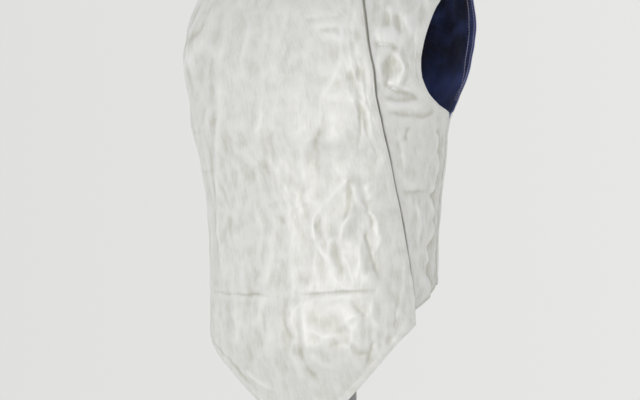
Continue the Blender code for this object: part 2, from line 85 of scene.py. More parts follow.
# Rows: level, angle of the lap's edge
lapEdge = (
    (-0.246, 71.5), (-0.194, 67.0), (-0.144, 62.0), (-0.089, 56.0), (-0.014, 49.5), (0.085, 39.3),
    (0.120, 35.8), (0.146, 33.0), (0.195, 27.5), (0.224, 24.5), (0.244, 23.0),
)
# Rows: level, how far the lap's edge stands off the panel below it
lapLift = (
    (-0.289, 0.0026), (-0.150, 0.0022), (-0.070, 0.0019), (0.060, 0.0018), (0.150, 0.0014), (0.230, 0.0),
)
lapSizes = {"liftReach": 22.0, "play": 0.0018, "ramp": 13.0, "hiddenShare": 5 / 16}
# Rows: angle, level of the hem
overHem = (
    (-104.0, -0.233), (-90.0, -0.258), (-76.0, -0.286), (-66.0, -0.309), (-42.0, -0.352), (-24.0, -0.393),
    (-9.0, -0.438), (-3.0, -0.446), (3.0, -0.446), (9.0, -0.438), (25.5, -0.393), (43.0, -0.348),
    (60.0, -0.309), (71.5, -0.286),
)
underHem = ((40.0, -0.276), (60.0, -0.274), (74.0, -0.266), (90.0, -0.248), (104.0, -0.233))
backHem = ((-76.0, -0.233), (76.0, -0.233))
# Large folds. Rows: start angle, start level, end angle, end level, bow, half width, height
frontFolds = (
    (-20.0, 0.150, -33.0, -0.060, 0.004, 0.018, 0.0045),
    (-33.0, -0.050, -44.0, -0.225, 0.004, 0.016, 0.0040),
    (-36.0, 0.150, -52.0, -0.190, 0.010, 0.020, -0.0040),
    (-66.0, 0.080, -34.0, 0.150, 0.006, 0.010, 0.0040),
    (-62.0, 0.045, -40.0, 0.090, 0.006, 0.010, -0.0030),
    (-78.0, -0.251, 72.0, -0.249, 0.000, 0.008, -0.0022),
    (2.0, -0.255, 2.0, -0.330, 0.000, 0.009, 0.0025),
    (32.0, -0.075, 26.0, -0.175, -0.016, 0.010, 0.0040),
    (36.0, -0.090, 46.0, -0.225, 0.014, 0.010, 0.0035),
    (36.0, -0.135, 37.0, -0.235, 0.000, 0.011, -0.0030),
    (-6.0, 0.120, -2.0, -0.100, 0.008, 0.016, 0.0030),
    (12.0, 0.090, 20.0, -0.090, -0.006, 0.014, -0.0028),
    (60.0, 0.045, 84.0, 0.014, -0.006, 0.008, 0.0040),
    (66.0, -0.005, 98.0, -0.004, -0.005, 0.009, 0.0035),
    (84.0, -0.060, 92.0, -0.200, 0.010, 0.012, -0.0030),
)
backFolds = (
    (-30.0, 0.060, -38.0, -0.150, 0.008, 0.018, 0.0040),
    (34.0, 0.020, 30.0, -0.180, -0.008, 0.018, 0.0040),
    (-4.0, 0.150, 4.0, -0.060, 0.006, 0.020, -0.0040),
    (-64.0, -0.020, -40.0, -0.080, 0.006, 0.014, -0.0035),
    (62.0, -0.030, 42.0, -0.100, -0.006, 0.014, -0.0035),
    (-74.0, -0.160, 74.0, -0.164, 0.000, 0.012, -0.0025),
)
# Creases, listed one by one. Rows: half width and height in mm, then each point's angle and its level in mm
overCreases = (
    (15.0, -2.0, 54, -70, 59, -120, 64, -170, 69, -220, 71, -262, 70, -288),
    (5.0, 1.8, -28, 141, -27, 120, -25, 82, -26, 37, -29, -10, -36, -64, -41, -120, -43, -175, -41, -223),
    (8.0, -1.6, -31, 130, -31, 89, -32, 38, -34, -10, -42, -64, -47, -120, -50, -176, -49, -216),
    (9.0, -2.0, 9, -266, 20, -288, 36, -306),
    (7.0, 1.5, 44, -262, 30, -284, 13, -326),
    (2.2, -0.9, -59, 49, -49, 48, -43, 46),
    (2.2, -0.7, -34, -7, -30, -9),
    (2.2, -0.9, -67, -29, -51, -27, -41, -25),
    (2.2, -1.1, -67, -82, -51, -80, -39, -80),
    (4.0, -2.4, -61, 95, -48, 105, -42, 120, -40, 134, -39, 145),
    (3.0, 1.6, -60, 109, -53, 122, -50, 137, -50, 149),
    (3.0, -1.4, -60, 122, -56, 134, -56, 147),
    (3.0, -1.4, 8, 121, 14, 114, 22, 116, 28, 122),
    (4.0, 1.4, 15, 105, 23, 109, 30, 103),
    (4.0, 1.6, 17, 92, 21, 97, 26, 96, 30, 87, 33, 69, 34, 50),
    (3.0, -1.2, 18, 100, 24, 103, 30, 95),
    (1.8, -0.7, 28, 138, 30, 116, 31, 93, 32, 71),
    (2.6, -1.4, 34, 69, 37, 37, 40, 6, 43, -24, 47, -73),
    (5.0, 1.3, 37, 69, 41, 30, 45, -10, 48, -50, 52, -98),
    (3.0, -1.8, 37, 20, 39, -6, 40, -28, 38, -61),
    (13.0, 2.8, 31, 14, 29, -24, 26, -72),
    (4.5, -1.8, 24, 9, 22, -17, 19, -43, 19, -70, 21, -94),
    (5.0, 1.4, 17, -30, 14, -47, 11, -68, 7, -88),
    (4.0, -1.2, 20, -34, 17, -57, 14, -78),
    (10.0, 2.2, -14, 1, -13, -24, -12, -53, -16, -90),
    (4.0, 1.2, -21, -62, -22, -86, -23, -116),
    (5.0, 1.8, -17, -116, -13, -135, -11, -167, -12, -198, -9, -230),
    (8.0, -1.8, -5, -118, -2, -138, 2, -154),
    (3.0, 1.0, 5, -50, 4, -85, 2, -124),
    (4.2, 1.9, 36, -83, 29, -100, 23, -118, 19, -130),
    (3.2, 2.1, 20, -126, 16, -146, 16, -160, 18, -178, 23, -196),
    (4.6, 1.5, 16, -170, 22, -202, 24, -214, 30, -232),
    (2.8, -1.6, 21, -132, 19, -152, 20, -172, 24, -190),
    (6.5, -3.2, 35, -76, 34, -100, 33, -128, 30, -150),
    (4.5, -1.8, 29, -152, 27, -176, 28, -200, 31, -224),
    (5.0, 2.1, 35, -91, 38, -118, 43, -132),
    (3.4, 2.2, 42, -128, 48, -147, 50, -172, 48, -190),
    (3.0, -1.7, 39, -112, 44, -140, 46, -160),
    (4.4, 1.9, 38, -136, 32, -150, 30, -169, 31, -184),
    (3.2, 1.7, 31, -190, 35, -212, 38, -234),
    (3.0, 1.6, 38, -136, 41, -157, 40, -185, 39, -231),
    (3.2, -2.0, 40, -147, 42, -166, 46, -196, 50, -230),
    (5.0, -1.8, 43, -190, 44, -204, 43, -220),
    (5.0, 1.6, 42, -94, 44, -105, 45, -120),
    (3.0, 1.2, 14, -191, 17, -210, 20, -237),
    (3.0, -1.2, 11, -202, 14, -218, 17, -240),
    (4.0, -1.4, 8, -218, 11, -225, 14, -236),
    (3.4, 1.2, 24, -202, 26, -218, 32, -237),
    (3.0, 1.5, -41, -194, -40, -210, -35, -230),
    (2.0, -2.0, -59, -246, -35, -248, -15, -248, 0, -248),
    (2.0, -2.2, 8, -248, 17, -245, 32, -242, 50, -239),
    (3.2, 0.5, -52, -254, -18, -256, 0, -254),
    (3.2, 0.5, 9, -254, 29, -248, 49, -246),
    (2.6, -1.9, 2, -251, 2, -281, 2, -315),
    (5.0, 1.9, 4, -251, 6, -281, 5, -314, 2, -352),
    (3.0, 1.2, 11, -250, 7, -267, 4, -297),
    (4.0, 1.1, 46, -247, 45, -266, 51, -296),
    (4.0, -1.6, 33, -246, 37, -263, 43, -276),
    (4.6, 1.4, 12, -287, 21, -303, 31, -300, 41, -316),
    (3.0, -1.4, 22, -318, 31, -311, 38, -325, 47, -322),
    (3.0, -2.4, -59, -316, -44, -332, -35, -350, -28, -366, -22, -382),
    (3.4, 2.6, -27, -354, -21, -366, -12, -378),
    (3.4, -1.7, 61, -244, 60, -266, 56, -293),
    (3.0, -2.4, 48, -304, 44, -323, 38, -345),
    (3.0, 2.1, 13, -324, 17, -338, 25, -347),
    (3.0, 1.9, 3, -322, 4, -341, 5, -364),
    (3.4, -2.1, 9, -316, 9, -338, 14, -362),
    (5.0, 1.9, -32, -270, -27, -292, -30, -318),
    (4.0, -1.9, -11, -262, -9, -288, -13, -323),
    (6.0, 1.6, -5, 136, -4, 103, -5, 66),
    (7.0, -1.5, 4, 131, 5, 92, 4, 50),
    (5.0, 1.3, -13, 115, -13, 81, -13, 37),
    (4.0, 1.2, -4, 17, -7, -24, -10, -64),
    (5.0, -1.3, 2, 4, 0, -37, -2, -71),
    (4.0, 1.1, 11, 37, 11, 11, 13, -17),
    (4.0, -1.1, -32, -120, -32, -154, -31, -185),
    (4.0, 1.1, 11, -98, 9, -125, 6, -152, 8, -179),
    (5.0, -1.3, 14, -88, 12, -118, 12, -152),
)
underCreases = (
    (9.0, 3.9, 40, 101, 45, 105, 51, 109),
    (2.0, -3.6, 40, 88, 46, 88, 53, 83),
    (3.5, 5.9, 50, 82, 54, 70, 56, 49, 55, 31),
    (4.2, -4.9, 49, 78, 48, 59, 51, 41),
    (3.0, 3.9, 45, 79, 45, 59, 48, 35),
    (2.6, -4.2, 47, 42, 53, 33, 60, 26, 68, 21),
    (3.0, 3.2, 50, 43, 57, 34, 65, 30),
    (2.6, -3.5, 48, 21, 56, 17, 70, 18),
    (3.0, 2.9, 50, 13, 60, 9, 73, 10),
    (3.0, -2.2, 51, 2, 61, -4, 72, -5, 84, 3),
    (4.0, -3.9, 49, 130, 51, 118, 54, 101),
    (3.6, 3.6, 53, 128, 57, 116, 60, 99),
    (3.0, 2.9, 46, 139, 48, 127, 48, 115),
    (4.0, 3.2, 62, 123, 62, 97, 63, 73),
    (3.0, -2.5, 65, -18, 64, -29, 65, -39),
    (4.0, 2.8, 58, -24, 62, -50, 62, -80),
    (3.0, -2.2, 61, -105, 70, -107, 83, -104),
    (4.0, 2.5, 72, -118, 76, -152, 76, -186),
)
# The back, which the photo doesn't show, has creases of the same kind as the front's
backCreases = (
    (5.0, 1.6, 24, 150, 27, 100, 26, 40, 30, -20, 33, -90, 32, -150),
    (8.0, -1.6, 30, 140, 33, 90, 33, 30, 37, -40, 40, -110),
    (4.0, 1.8, -28, 60, -22, 20, -20, -20, -24, -70),
    (6.0, -2.2, -33, 40, -29, 0, -27, -40, -31, -90),
    (3.4, 1.8, -12, -60, -18, -90, -19, -130, -14, -170),
    (4.0, 1.9, -12, -60, -5, -85, -2, -120, -6, -165),
    (3.4, -1.8, -12, -75, -11, -110, -12, -150),
    (10.0, 2.2, 6, 60, 9, 20, 8, -30),
    (4.0, -1.5, 14, 50, 17, 10, 15, -40),
    (1.7, -1.6, -70, -120, -40, -122, -8, -121),
    (1.7, -1.6, 2, -121, 30, -123, 66, -120),
    (3.0, 0.9, -60, -128, -20, -129, 50, -128),
    (2.6, -1.2, 1, -125, 2, -170, 1, -215),
    (3.8, 1.4, 4, -125, 5, -175, 3, -220),
    (2.4, -1.6, -64, 20, -56, 12, -46, 8),
    (2.8, 1.4, -64, 30, -54, 22, -44, 20),
    (2.6, -1.5, 64, 26, 55, 16, 44, 12),
    (3.0, 1.4, 64, 12, 54, 2, 45, -2),
)


def flowing(table, wanted, column=1):
    # smooth curve through a table's rows: cubic pieces with limited slopes, so it never overshoots
    rows = np.array(table, dtype=float)
    known, values = rows[:, 0], rows[:, column]
    steps = np.diff(known)
    secants = np.diff(values) / steps
    slopes = np.zeros(len(known))
    sameWay = secants[:-1] * secants[1:] > 0
    leftWeight = 2 * steps[1:] + steps[:-1]
    rightWeight = steps[1:] + 2 * steps[:-1]
    blend = np.divide(leftWeight, secants[:-1], out=np.zeros_like(steps[1:]), where=sameWay)
    blend += np.divide(rightWeight, secants[1:], out=np.zeros_like(steps[1:]), where=sameWay)
    slopes[1:-1] = np.divide(leftWeight + rightWeight, blend, out=np.zeros_like(blend), where=sameWay)
    slopes[0], slopes[-1] = secants[0], secants[-1]
    place = np.clip(wanted, known[0], known[-1])
    piece = np.clip(np.searchsorted(known, place) - 1, 0, len(steps) - 1)
    span = steps[piece]
    part = (place - known[piece]) / span
    start = (1 + 2 * part) * (1 - part) ** 2 * values[piece] + part * (1 - part) ** 2 * span * slopes[piece]
    end = part**2 * (3 - 2 * part) * values[piece + 1] - part**2 * (1 - part) * span * slopes[piece + 1]
    return start + end


def straight(table, wanted):
    rows = np.array(table, dtype=float)
    return np.interp(wanted, rows[:, 0], rows[:, 1])


def softStep(part):
    part = np.clip(part, 0.0, 1.0)
    return part * part * (3 - 2 * part)


def unit(vectors):
    return vectors / np.maximum(np.linalg.norm(vectors, axis=-1, keepdims=True), 1e-12)


def lengthAlong(line):
    # distance of each point of a line from its start
    return np.concatenate([[0.0], np.cumsum(np.linalg.norm(np.diff(line, axis=0), axis=1))])


def pointsAt(places, length, line):
    # points of a line at given distances from its start
    return np.stack([np.interp(places, length, line[:, i]) for i in range(3)], axis=1)


front = {"sections": frontSections, "armhole": frontArmhole, "side": 104.0, "folds": frontFolds, "facing": -1}
back = {"sections": backSections, "armhole": backArmhole, "side": 76.0, "folds": backFolds, "facing": 1}


def edgeAngle(half, level):
    return np.where(level <= 0.0, half["side"], flowing(half["armhole"], level))


def barePoint(half, angle, level):
    # an ellipse round the body at each level, bowed up at the middle of the chest
    turn = np.radians(angle)
    middleLevel, halfWidth, depth, centreY = (flowing(half["sections"], level, i) for i in range(1, 5))
    x = halfWidth * np.sin(turn)
    y = centreY + half["facing"] * depth * np.cos(turn)
    edgeX = halfWidth * np.sin(np.radians(edgeAngle(half, level)))
    z = level + (middleLevel - level) * (1 - (x / edgeX) ** 2)
    return np.stack([x, y, z + form["underarm"]], axis=-1)


def outward(half, angle, level):
    # direction straight out of the surface, from two small steps on it
    low = np.minimum(level, form["shoulder"] - 0.0008)
    across = barePoint(half, angle + 0.4, low) - barePoint(half, angle - 0.4, low)
    upward = barePoint(half, angle, low + 0.0008) - barePoint(half, angle, low - 0.0008)
    out = -half["facing"] * np.cross(across, upward)
    atShoulder = softStep((level - form["shoulder"] + form["shoulderTurn"]) / form["shoulderTurn"])
    out[..., 1] *= 1 - atShoulder
    return unit(out)


foldSizes = {
    "share": 0.55,  # of the heights in the tables
    "fade": 0.22,  # share of a fold's length over which it dies out
    "start": 0.45,  # where on that soft step the fold's very end lies
    "shoulder": 0.050,  # height below the shoulder seam over which they die out
}


def largeFolds(half, angle, level):
    # a bell across each fold's bowed line, which fades out at its two ends
    around = form["foldRadius"] * np.radians(angle)
    total = np.zeros_like(level)
    for startAngle, startLevel, endAngle, endLevel, bow, halfWidth, height in half["folds"]:
        start = np.array([form["foldRadius"] * math.radians(startAngle), startLevel])
        end = np.array([form["foldRadius"] * math.radians(endAngle), endLevel])
        length = np.linalg.norm(end - start)
        way = (end - start) / length
        part = ((around - start[0]) * way[0] + (level - start[1]) * way[1]) / length
        beside = (around - start[0]) * way[1] - (level - start[1]) * way[0]
        beside = beside - bow * np.sin(np.pi * np.clip(part, 0.0, 1.0))
        fade = softStep(part / foldSizes["fade"] + foldSizes["start"])
        fade *= softStep((1 - part) / foldSizes["fade"] + foldSizes["start"])
        total += height * fade * np.exp(-((beside / halfWidth) ** 2))
    return foldSizes["share"] * total * softStep((form["shoulder"] - level) / foldSizes["shoulder"])


def latticeNoise(across, up, seed):
    # smooth noise from -1 to 1: random values on a unit lattice, blended with soft steps; a number that a
    # caller adds to its coordinates only picks another part of it
    values = np.random.default_rng(seed).uniform(-1.0, 1.0, (64, 64))
    column, row = np.floor(across).astype(int), np.floor(up).astype(int)
    partX, partY = softStep(across - column), softStep(up - row)
    corners = [values[(row + r) % 64, (column + c) % 64] for r in (0, 1) for c in (0, 1)]
    low = corners[0] + (corners[1] - corners[0]) * partX
    high = corners[2] + (corners[3] - corners[2]) * partX
    return low + (high - low) * partY


def facetNet(across, up, seed):
    # bowls round jittered points of a unit lattice, mixed by a soft minimum so that they meet in crisp
    # ridges, and then stretched to about -1 to 1
    crisp, stretch, middle = 0.030, 2.4, 0.85
    draw = np.random.default_rng(seed)
    jitter, lift = draw.uniform(0.08, 0.92, (64, 64, 2)), draw.uniform(0.0, 0.40, (64, 64))
    column, row = np.floor(across).astype(int), np.floor(up).astype(int)
    total = np.zeros_like(across)
    for r in (-1, 0, 1):
        for c in (-1, 0, 1):
            spot = ((row + r) % 64, (column + c) % 64)
            gapX = across - column - c - jitter[spot][..., 0]
            gapY = up - row - r - jitter[spot][..., 1]
            total += np.exp(-(gapX**2 + gapY**2 + lift[spot]) / crisp)
    return -crisp * np.log(total + 1e-12) * stretch - middle


# Crinkles of the stiff metallic cloth, in mm. Rows: width, length, height, faceted (1) or round (0)
crinkles = {
    "cloth": ((52, 90, 0.9, 0), (27, 52, 1.20, 1), (12, 26, 0.48, 1), (5.5, 12, 0.13, 1)),
    "lining": ((40, 34, 2.2, 0), (24, 21, 2.6, 1), (10, 12, 0.8, 1)),
    "wobble": ((19, 3.2, 1.0, 81), (7, 1.3, 0.5, 83)),  # of placed creases: cell, shift across and up, seed
    "placed": 0.70,  # share of the height of the listed creases
    "warp": 8.0,  # how far the noise bends its own lines
    "seed": 11,
}


def crinkleHeight(half, angle, level, kind):
    # noise on the flat cloth in mm: long upright cells, bent by slower noise
    around = form["foldRadius"] * np.radians(angle) * 1000 + (900 if half is back else 0) + 400
    up = level * 1000 + 600
    seed = crinkles["seed"] + (50 if half is back else 0) + (7 if kind == "lining" else 0)
    bend = crinkles["warp"]
    acrossWarp = around + bend * latticeNoise(around / 31, up / 47, seed + 1)
    upWarp = up + 1.6 * bend * latticeNoise(around / 27, up / 39, seed + 2)
    total = np.zeros_like(level)
    for number, (width, length, height, faceted) in enumerate(crinkles[kind]):
        pattern = facetNet if faceted else latticeNoise
        total += height * pattern(acrossWarp / width, upWarp / length, seed + 10 + number)
    calmer = 0.85 + 0.55 * latticeNoise(around / 60 + 5, up / 75 + 5, seed + 30)
    return total * calmer / 1000


creaseSizes = {
    "reach": 4.0,  # half widths from the line that are worked out
    "margin": 20,  # mm, for the wobble
    "taper": 0.30,  # share of a crease's length over which it dies out
    "shortest": 3.0,  # mm of that at least
    "start": 0.15,  # where on that soft step its very end lies
    "crestRound": 0.30,  # these three in half widths
    "gentle": 1.35,
    "steep": 0.60,
    "strength": 0.90,
    "uneven": 0.45,
}


def creaseHeight(rows, angle, level):
    # each row is a ridge or trough: a tent with a round crest and one gentler flank, along a smooth line
    # that noise bends; its height comes and goes, and fades at the ends
    plainAround = form["foldRadius"] * 1000 * np.radians(angle)
    plainUp = level * 1000
    around, up = plainAround.copy(), plainUp.copy()
    for cell, sideways, upways, seed in crinkles["wobble"]:
        around += sideways * latticeNoise(plainAround / cell + 40, plainUp / cell + 40, seed)
        up += upways * latticeNoise(plainAround / cell + 40, plainUp / cell + 40, seed + 1)
    uneven = latticeNoise(plainAround / 21 + 40, plainUp / 17 + 40, 85)
    strength = creaseSizes["strength"] + creaseSizes["uneven"] * uneven
    total = np.zeros_like(level)
    for number, (halfWidth, height, *spots) in enumerate(rows):
        spots = np.reshape(spots, (-1, 2)).astype(float)
        line = np.stack([form["foldRadius"] * 1000 * np.radians(spots[:, 0]), spots[:, 1]], axis=1)
        known = lengthAlong(line)
        dense = np.linspace(0.0, known[-1], 5 * len(line))
        line = np.stack([flowing(np.stack([known, line[:, i]], axis=1), dense) for i in (0, 1)], axis=1)
        reach = creaseSizes["reach"] * halfWidth + creaseSizes["margin"]
        near = np.abs(around - line[:, 0].mean()) < np.ptp(line[:, 0]) / 2 + reach
        near &= np.abs(up - line[:, 1].mean()) < np.ptp(line[:, 1]) / 2 + reach
        x, y = around[near], up[near]
        best = np.full(x.shape, 1e9)
        place, flank = np.zeros(x.shape), np.zeros(x.shape)
        for start, end, first in zip(line[:-1], line[1:], dense[:-1]):
            step = end - start
            length = np.linalg.norm(step)
            part = np.clip(((x - start[0]) * step[0] + (y - start[1]) * step[1]) / length**2, 0.0, 1.0)
            gap = np.hypot(x - start[0] - part * step[0], y - start[1] - part * step[1])
            closer = gap < best
            best = np.where(closer, gap, best)
            flank = np.where(closer, step[0] * (y - start[1]) - step[1] * (x - start[0]), flank)
            place = np.where(closer, first + part * length, place)
        taper, start = max(creaseSizes["taper"] * known[-1], creaseSizes["shortest"]), creaseSizes["start"]
        fade = softStep(place / taper + start) * softStep((known[-1] - place) / taper + start)
        crestRound = creaseSizes["crestRound"] * halfWidth
        gentle = (flank > 0) if number % 2 else (flank < 0)
        reachOut = halfWidth * np.where(gentle, creaseSizes["gentle"], creaseSizes["steep"])
        crest = np.exp(-(np.sqrt(best**2 + crestRound**2) - crestRound) / reachOut)
        total[near] += height * fade * crest * strength[near]
    return total * crinkles["placed"] / 1000


def lapAngle(level):
    return flowing(lapEdge, level)


def sideColumns(half, part, innerAngle, level):
    # from an inner line (part 0) to the side edge (part 1), bunched up near the armhole
    bunching = (half["side"] - edgeAngle(half, level)) * part**1.5
    return innerAngle + (half["side"] - innerAngle) * part - bunching


def overAngle(column, level):
    neck = form["neckAngle"]
    side = -sideColumns(front, np.clip(-column, 0, 1), neck, level)
    middle = -neck + (lapAngle(level) + neck) * np.clip(column, 0, 1)
    return np.where(column < 0, side, middle)


def underAngle(column, level):
    spread = (lapAngle(level) + form["neckAngle"]) * lapSizes["hiddenShare"]
    side = sideColumns(front, np.clip(column, 0, 1), lapAngle(level), level)
    return np.where(column < 0, lapAngle(level) + spread * np.clip(column, -1, 0), side)


def backAngle(column, level):
    outer = sideColumns(back, np.clip(np.abs(column) - 1, 0, 1), form["neckAngle"], level)
    return np.where(np.abs(column) <= 1, form["neckAngle"] * column, np.sign(column) * outer)


def overlapRise(angle, level):
    # the over panel climbs onto the under panel, and lifts again towards the lap's edge
    onUnder = (form["liningDepth"] + lapSizes["play"]) * softStep(
        (angle - underAngle(-1.0, level)) / lapSizes["ramp"] + 1.1
    )
    fallen = softStep((lapAngle(level) - angle) / lapSizes["liftReach"])
    return onUnder + flowing(lapLift, level) * (1 - fallen)


def topLevel(half, angleAt, reach):
    # level where each column meets the neckline or the shoulder, found by halving
    low = np.full(angleAt(0.0).shape, 0.150)
    high = np.full(low.shape, form["shoulder"])
    for _ in range(40):
        middle = (low + high) / 2
        point = barePoint(half, angleAt(middle), middle)
        forward = half["facing"] * (point[..., 1] - form["shoulderY"])
        outside = (np.hypot(point[..., 0] / form["neckHalfWidth"], forward / reach) > 1) & (forward > 0.0)
        low, high = np.where(outside, middle, low), np.where(outside, high, middle)
    return low


lowerCrowding = ((-0.460, 1.0), (-0.264, 1.0), (-0.258, 2.6), (-0.240, 2.6), (-0.234, 1.0), (0.0, 1.3))
upperCrowding = ((0.0, 2.2), (0.030, 1.4), (0.050, 1.0), (0.205, 1.0), (0.220, 2.6), (0.244, 2.6))
edgeSteps = np.array([0.0, 0.0008, 0.0028])  # extra lines of points close to an edge, for its roundness


def spread(count, lowEdge=True, highEdge=True):
    # even steps from 0 to 1 with extra ones at the ends
    even = np.linspace(0.0, 1.0, count + 1)[1:-1]
    starts = edgeSteps if lowEdge else [0.0]
    ends = 1 - edgeSteps[::-1] if highEdge else [1.0]
    return np.concatenate([starts, even, ends])


def panelGrid(half, angleAt, columns, hem, reach, rows):
    # rows of even cloth length from the hem to the underarm and on to the top, crowded by the tables
    hemLevel = straight(hem, angleAt(columns, np.full(columns.shape, -0.450)))
    top = topLevel(half, lambda level: angleAt(columns, level + 0 * columns), reach)
    parts = []
    for start, end, crowding, count in (
        (hemLevel, 0 * top, lowerCrowding, rows[0]),
        (0 * top, top, upperCrowding, rows[1]),
    ):
        dense = np.linspace(min(start.min(), -0.0001), max(end.max(), 0.0), 900)
        line = barePoint(half, np.full(dense.shape, 45.0), dense)
        steps = np.linalg.norm(np.diff(line, axis=0), axis=1) * straight(crowding, dense[1:])
        length = np.concatenate([[0.0], np.cumsum(steps)])
        low, high = np.interp(start, dense, length), np.interp(end, dense, length)
        share = spread(count, start is hemLevel, start is not hemLevel)[:, None]
        levels = np.interp(low + (high - low) * share, length, dense)
        parts.append(levels if start is hemLevel else levels[1:])
    level = np.concatenate(parts)
    return angleAt(np.broadcast_to(columns, level.shape), level), level


def gridFaces(index):
    corners = [index[:-1, :-1], index[:-1, 1:], index[1:, 1:], index[1:, :-1]]
    return np.stack(corners, axis=-1).reshape(-1, 4)


def addObject(name, mesh, material):
    mesh.materials.append(material)
    piece = bpy.data.objects.new(name, mesh)
    bpy.context.scene.collection.objects.link(piece)
    return piece


def makePiece(name, points, faces, material, uv=None, tone=None):
    # mesh from whole arrays, turned outwards by the sign of its volume; faces is a list of index arrays
    volume = 0.0
    for block in faces:
        a, b, c, d = (points[block[:, i % block.shape[1]]] for i in (0, 1, 2, 3))
        volume += np.einsum("ij,ij->i", a, np.cross(b, c)).sum()
        if block.shape[1] > 3:
            volume += np.einsum("ij,ij->i", a, np.cross(c, d)).sum()
    if volume < 0:
        faces = [block[:, ::-1] for block in faces]
    mesh = bpy.data.meshes.new(name)
    mesh.from_pydata(points, [], [face for block in faces for face in block.tolist()])
    mesh.update()
    mesh.shade_smooth()
    corners = np.empty(len(mesh.loops), dtype=np.int32)
    mesh.loops.foreach_get("vertex_index", corners)
    if uv is not None:
        layer = mesh.uv_layers.new(name="flatCloth")
        layer.data.foreach_set("uv", uv[corners].ravel())
    if tone is not None:
        # painted shade and highlight of the folds, carried to the materials
        mesh.attributes.new("paintedFoldShading", "FLOAT", "POINT").data.foreach_set("value", tone.ravel())
    piece = addObject(name, mesh, material)
    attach(piece, "root")
    return piece


def picked(count, every):
    # every so many points of a row, with its last one
    return np.unique(np.concatenate([np.arange(0, count, every), [count - 1]]))


def shell(name, outer, inner, material, flat, tone, every=1):
    # closed wall between a fine outer grid and an inner grid that may take only every so many of its points
    rows, columns = outer.shape[:2]
    pickRows, pickColumns = picked(rows, every), picked(columns, every)
    pick = np.ix_(pickRows, pickColumns)
    outerIndex = np.arange(rows * columns).reshape(rows, columns)
    innerIndex = np.arange(len(pickRows) * len(pickColumns)).reshape(len(pickRows), -1) + rows * columns
    faces = [gridFaces(outerIndex), gridFaces(innerIndex)[:, ::-1]]
    for outerRim, innerRim, picks in (
        (outerIndex[0], innerIndex[0], pickColumns),
        (outerIndex[:, -1], innerIndex[:, -1], pickRows),
        (outerIndex[-1, ::-1], innerIndex[-1, ::-1], columns - 1 - pickColumns[::-1]),
        (outerIndex[::-1, 0], innerIndex[::-1, 0], rows - 1 - pickRows[::-1]),
    ):
        for size in np.unique(np.diff(picks)):
            first = np.flatnonzero(np.diff(picks) == size)
            run = outerRim[picks[first][:, None] + np.arange(size, -1, -1)]
            ends = np.stack([innerRim[first], innerRim[first + 1]], axis=1)
            faces.append(np.concatenate([run, ends], axis=1))
    points = np.concatenate([outer.reshape(-1, 3), inner[pick].reshape(-1, 3)])
    uv = np.concatenate([flat.reshape(-1, 2), flat[pick].reshape(-1, 2)])
    return makePiece(name, points, faces, material, uv, np.concatenate([tone.ravel(), tone[pick].ravel()]))


def smoothed(grid, reach):
    # running mean both ways on a grid, with its edge values carried on
    weights = np.hanning(2 * reach + 3)[1:-1]
    weights /= weights.sum()
    for axis in (0, 1):
        first, last = (np.repeat(np.take(grid, [end], axis), reach, axis) for end in (0, -1))
        padded = np.concatenate([first, grid, last], axis)
        total = np.zeros_like(grid)
        for step, weight in enumerate(weights):
            total += weight * np.take(padded, np.arange(step, step + grid.shape[axis]), axis)
        grid = total
    return grid


def gapTo(points, line):
    # shortest distance from each point to a line of points in space, over all of its segments
    flat = points.reshape(-1, 3)
    best = np.full(len(flat), 1e9)
    for start, end in zip(line[:-1], line[1:]):
        step = end - start
        part = np.clip((flat - start) @ step / max(step @ step, 1e-12), 0.0, 1.0)
        best = np.minimum(best, np.linalg.norm(flat - start - part[:, None] * step, axis=1))
    return best.reshape(points.shape[:-1])


def colour(code):
    # sRGB hex to linear RGBA
    parts = [int(code[i : i + 2], 16) / 255 for i in (1, 3, 5)]
    return [p / 12.92 if p <= 0.04045 else ((p + 0.055) / 1.055) ** 2.4 for p in parts] + [1.0]


def addNode(tree, kind, inputs, **settings):
    made = tree.nodes.new(kind)
    for name, value in settings.items():
        setattr(made, name, value)
    for name, value in inputs.items():
        if isinstance(value, bpy.types.NodeSocket):
            tree.links.new(value, made.inputs[name])
        else:
            made.inputs[name].default_value = value
    return made


def newMaterial(name):
    material = bpy.data.materials.new(name)
    material.use_nodes = True
    tree = material.node_tree
    return material, tree, tree.nodes["Principled BSDF"]


def scaledBy(tree, place, scale, turn=0.0):
    inputs = {"Vector": place, "Scale": scale, "Rotation": (0, 0, turn)}
    return addNode(tree, "ShaderNodeMapping", inputs).outputs[0]


def noise(tree, place, scale=1.0, detail=2.0, roughness=0.5):
    inputs = {"Vector": place, "Scale": scale, "Detail": detail, "Roughness": roughness}
    return addNode(tree, "ShaderNodeTexNoise", inputs).outputs["Fac"]


def ranged(tree, value, start, end, low=0.0, high=1.0):
    inputs = {"Value": value, "From Min": start, "From Max": end, "To Min": low, "To Max": high}
    return addNode(tree, "ShaderNodeMapRange", inputs).outputs[0]


def weighed(tree, value, weight, rest):
    # value times weight, plus the rest
    inputs = {0: value, 1: weight, 2: rest}
    return addNode(tree, "ShaderNodeMath", inputs, operation="MULTIPLY_ADD").outputs[0]


def mixed(tree, share, low, high):
    return addNode(tree, "ShaderNodeMix", {0: share, 6: low, 7: high}, data_type="RGBA").outputs[2]


def dress(tree, shader, base, rough, height, distance):
    bump = addNode(tree, "ShaderNodeBump", {"Height": height, "Distance": distance, "Strength": 1.0})
    tree.links.new(base, shader.inputs["Base Color"])
    tree.links.new(bump.outputs[0], shader.inputs["Normal"])
    if isinstance(rough, float):
        shader.inputs["Roughness"].default_value = rough
    else:
        tree.links.new(rough, shader.inputs["Roughness"])


noiseSpan = (0.3, 0.7)  # nearly all of a noise's values lie between these

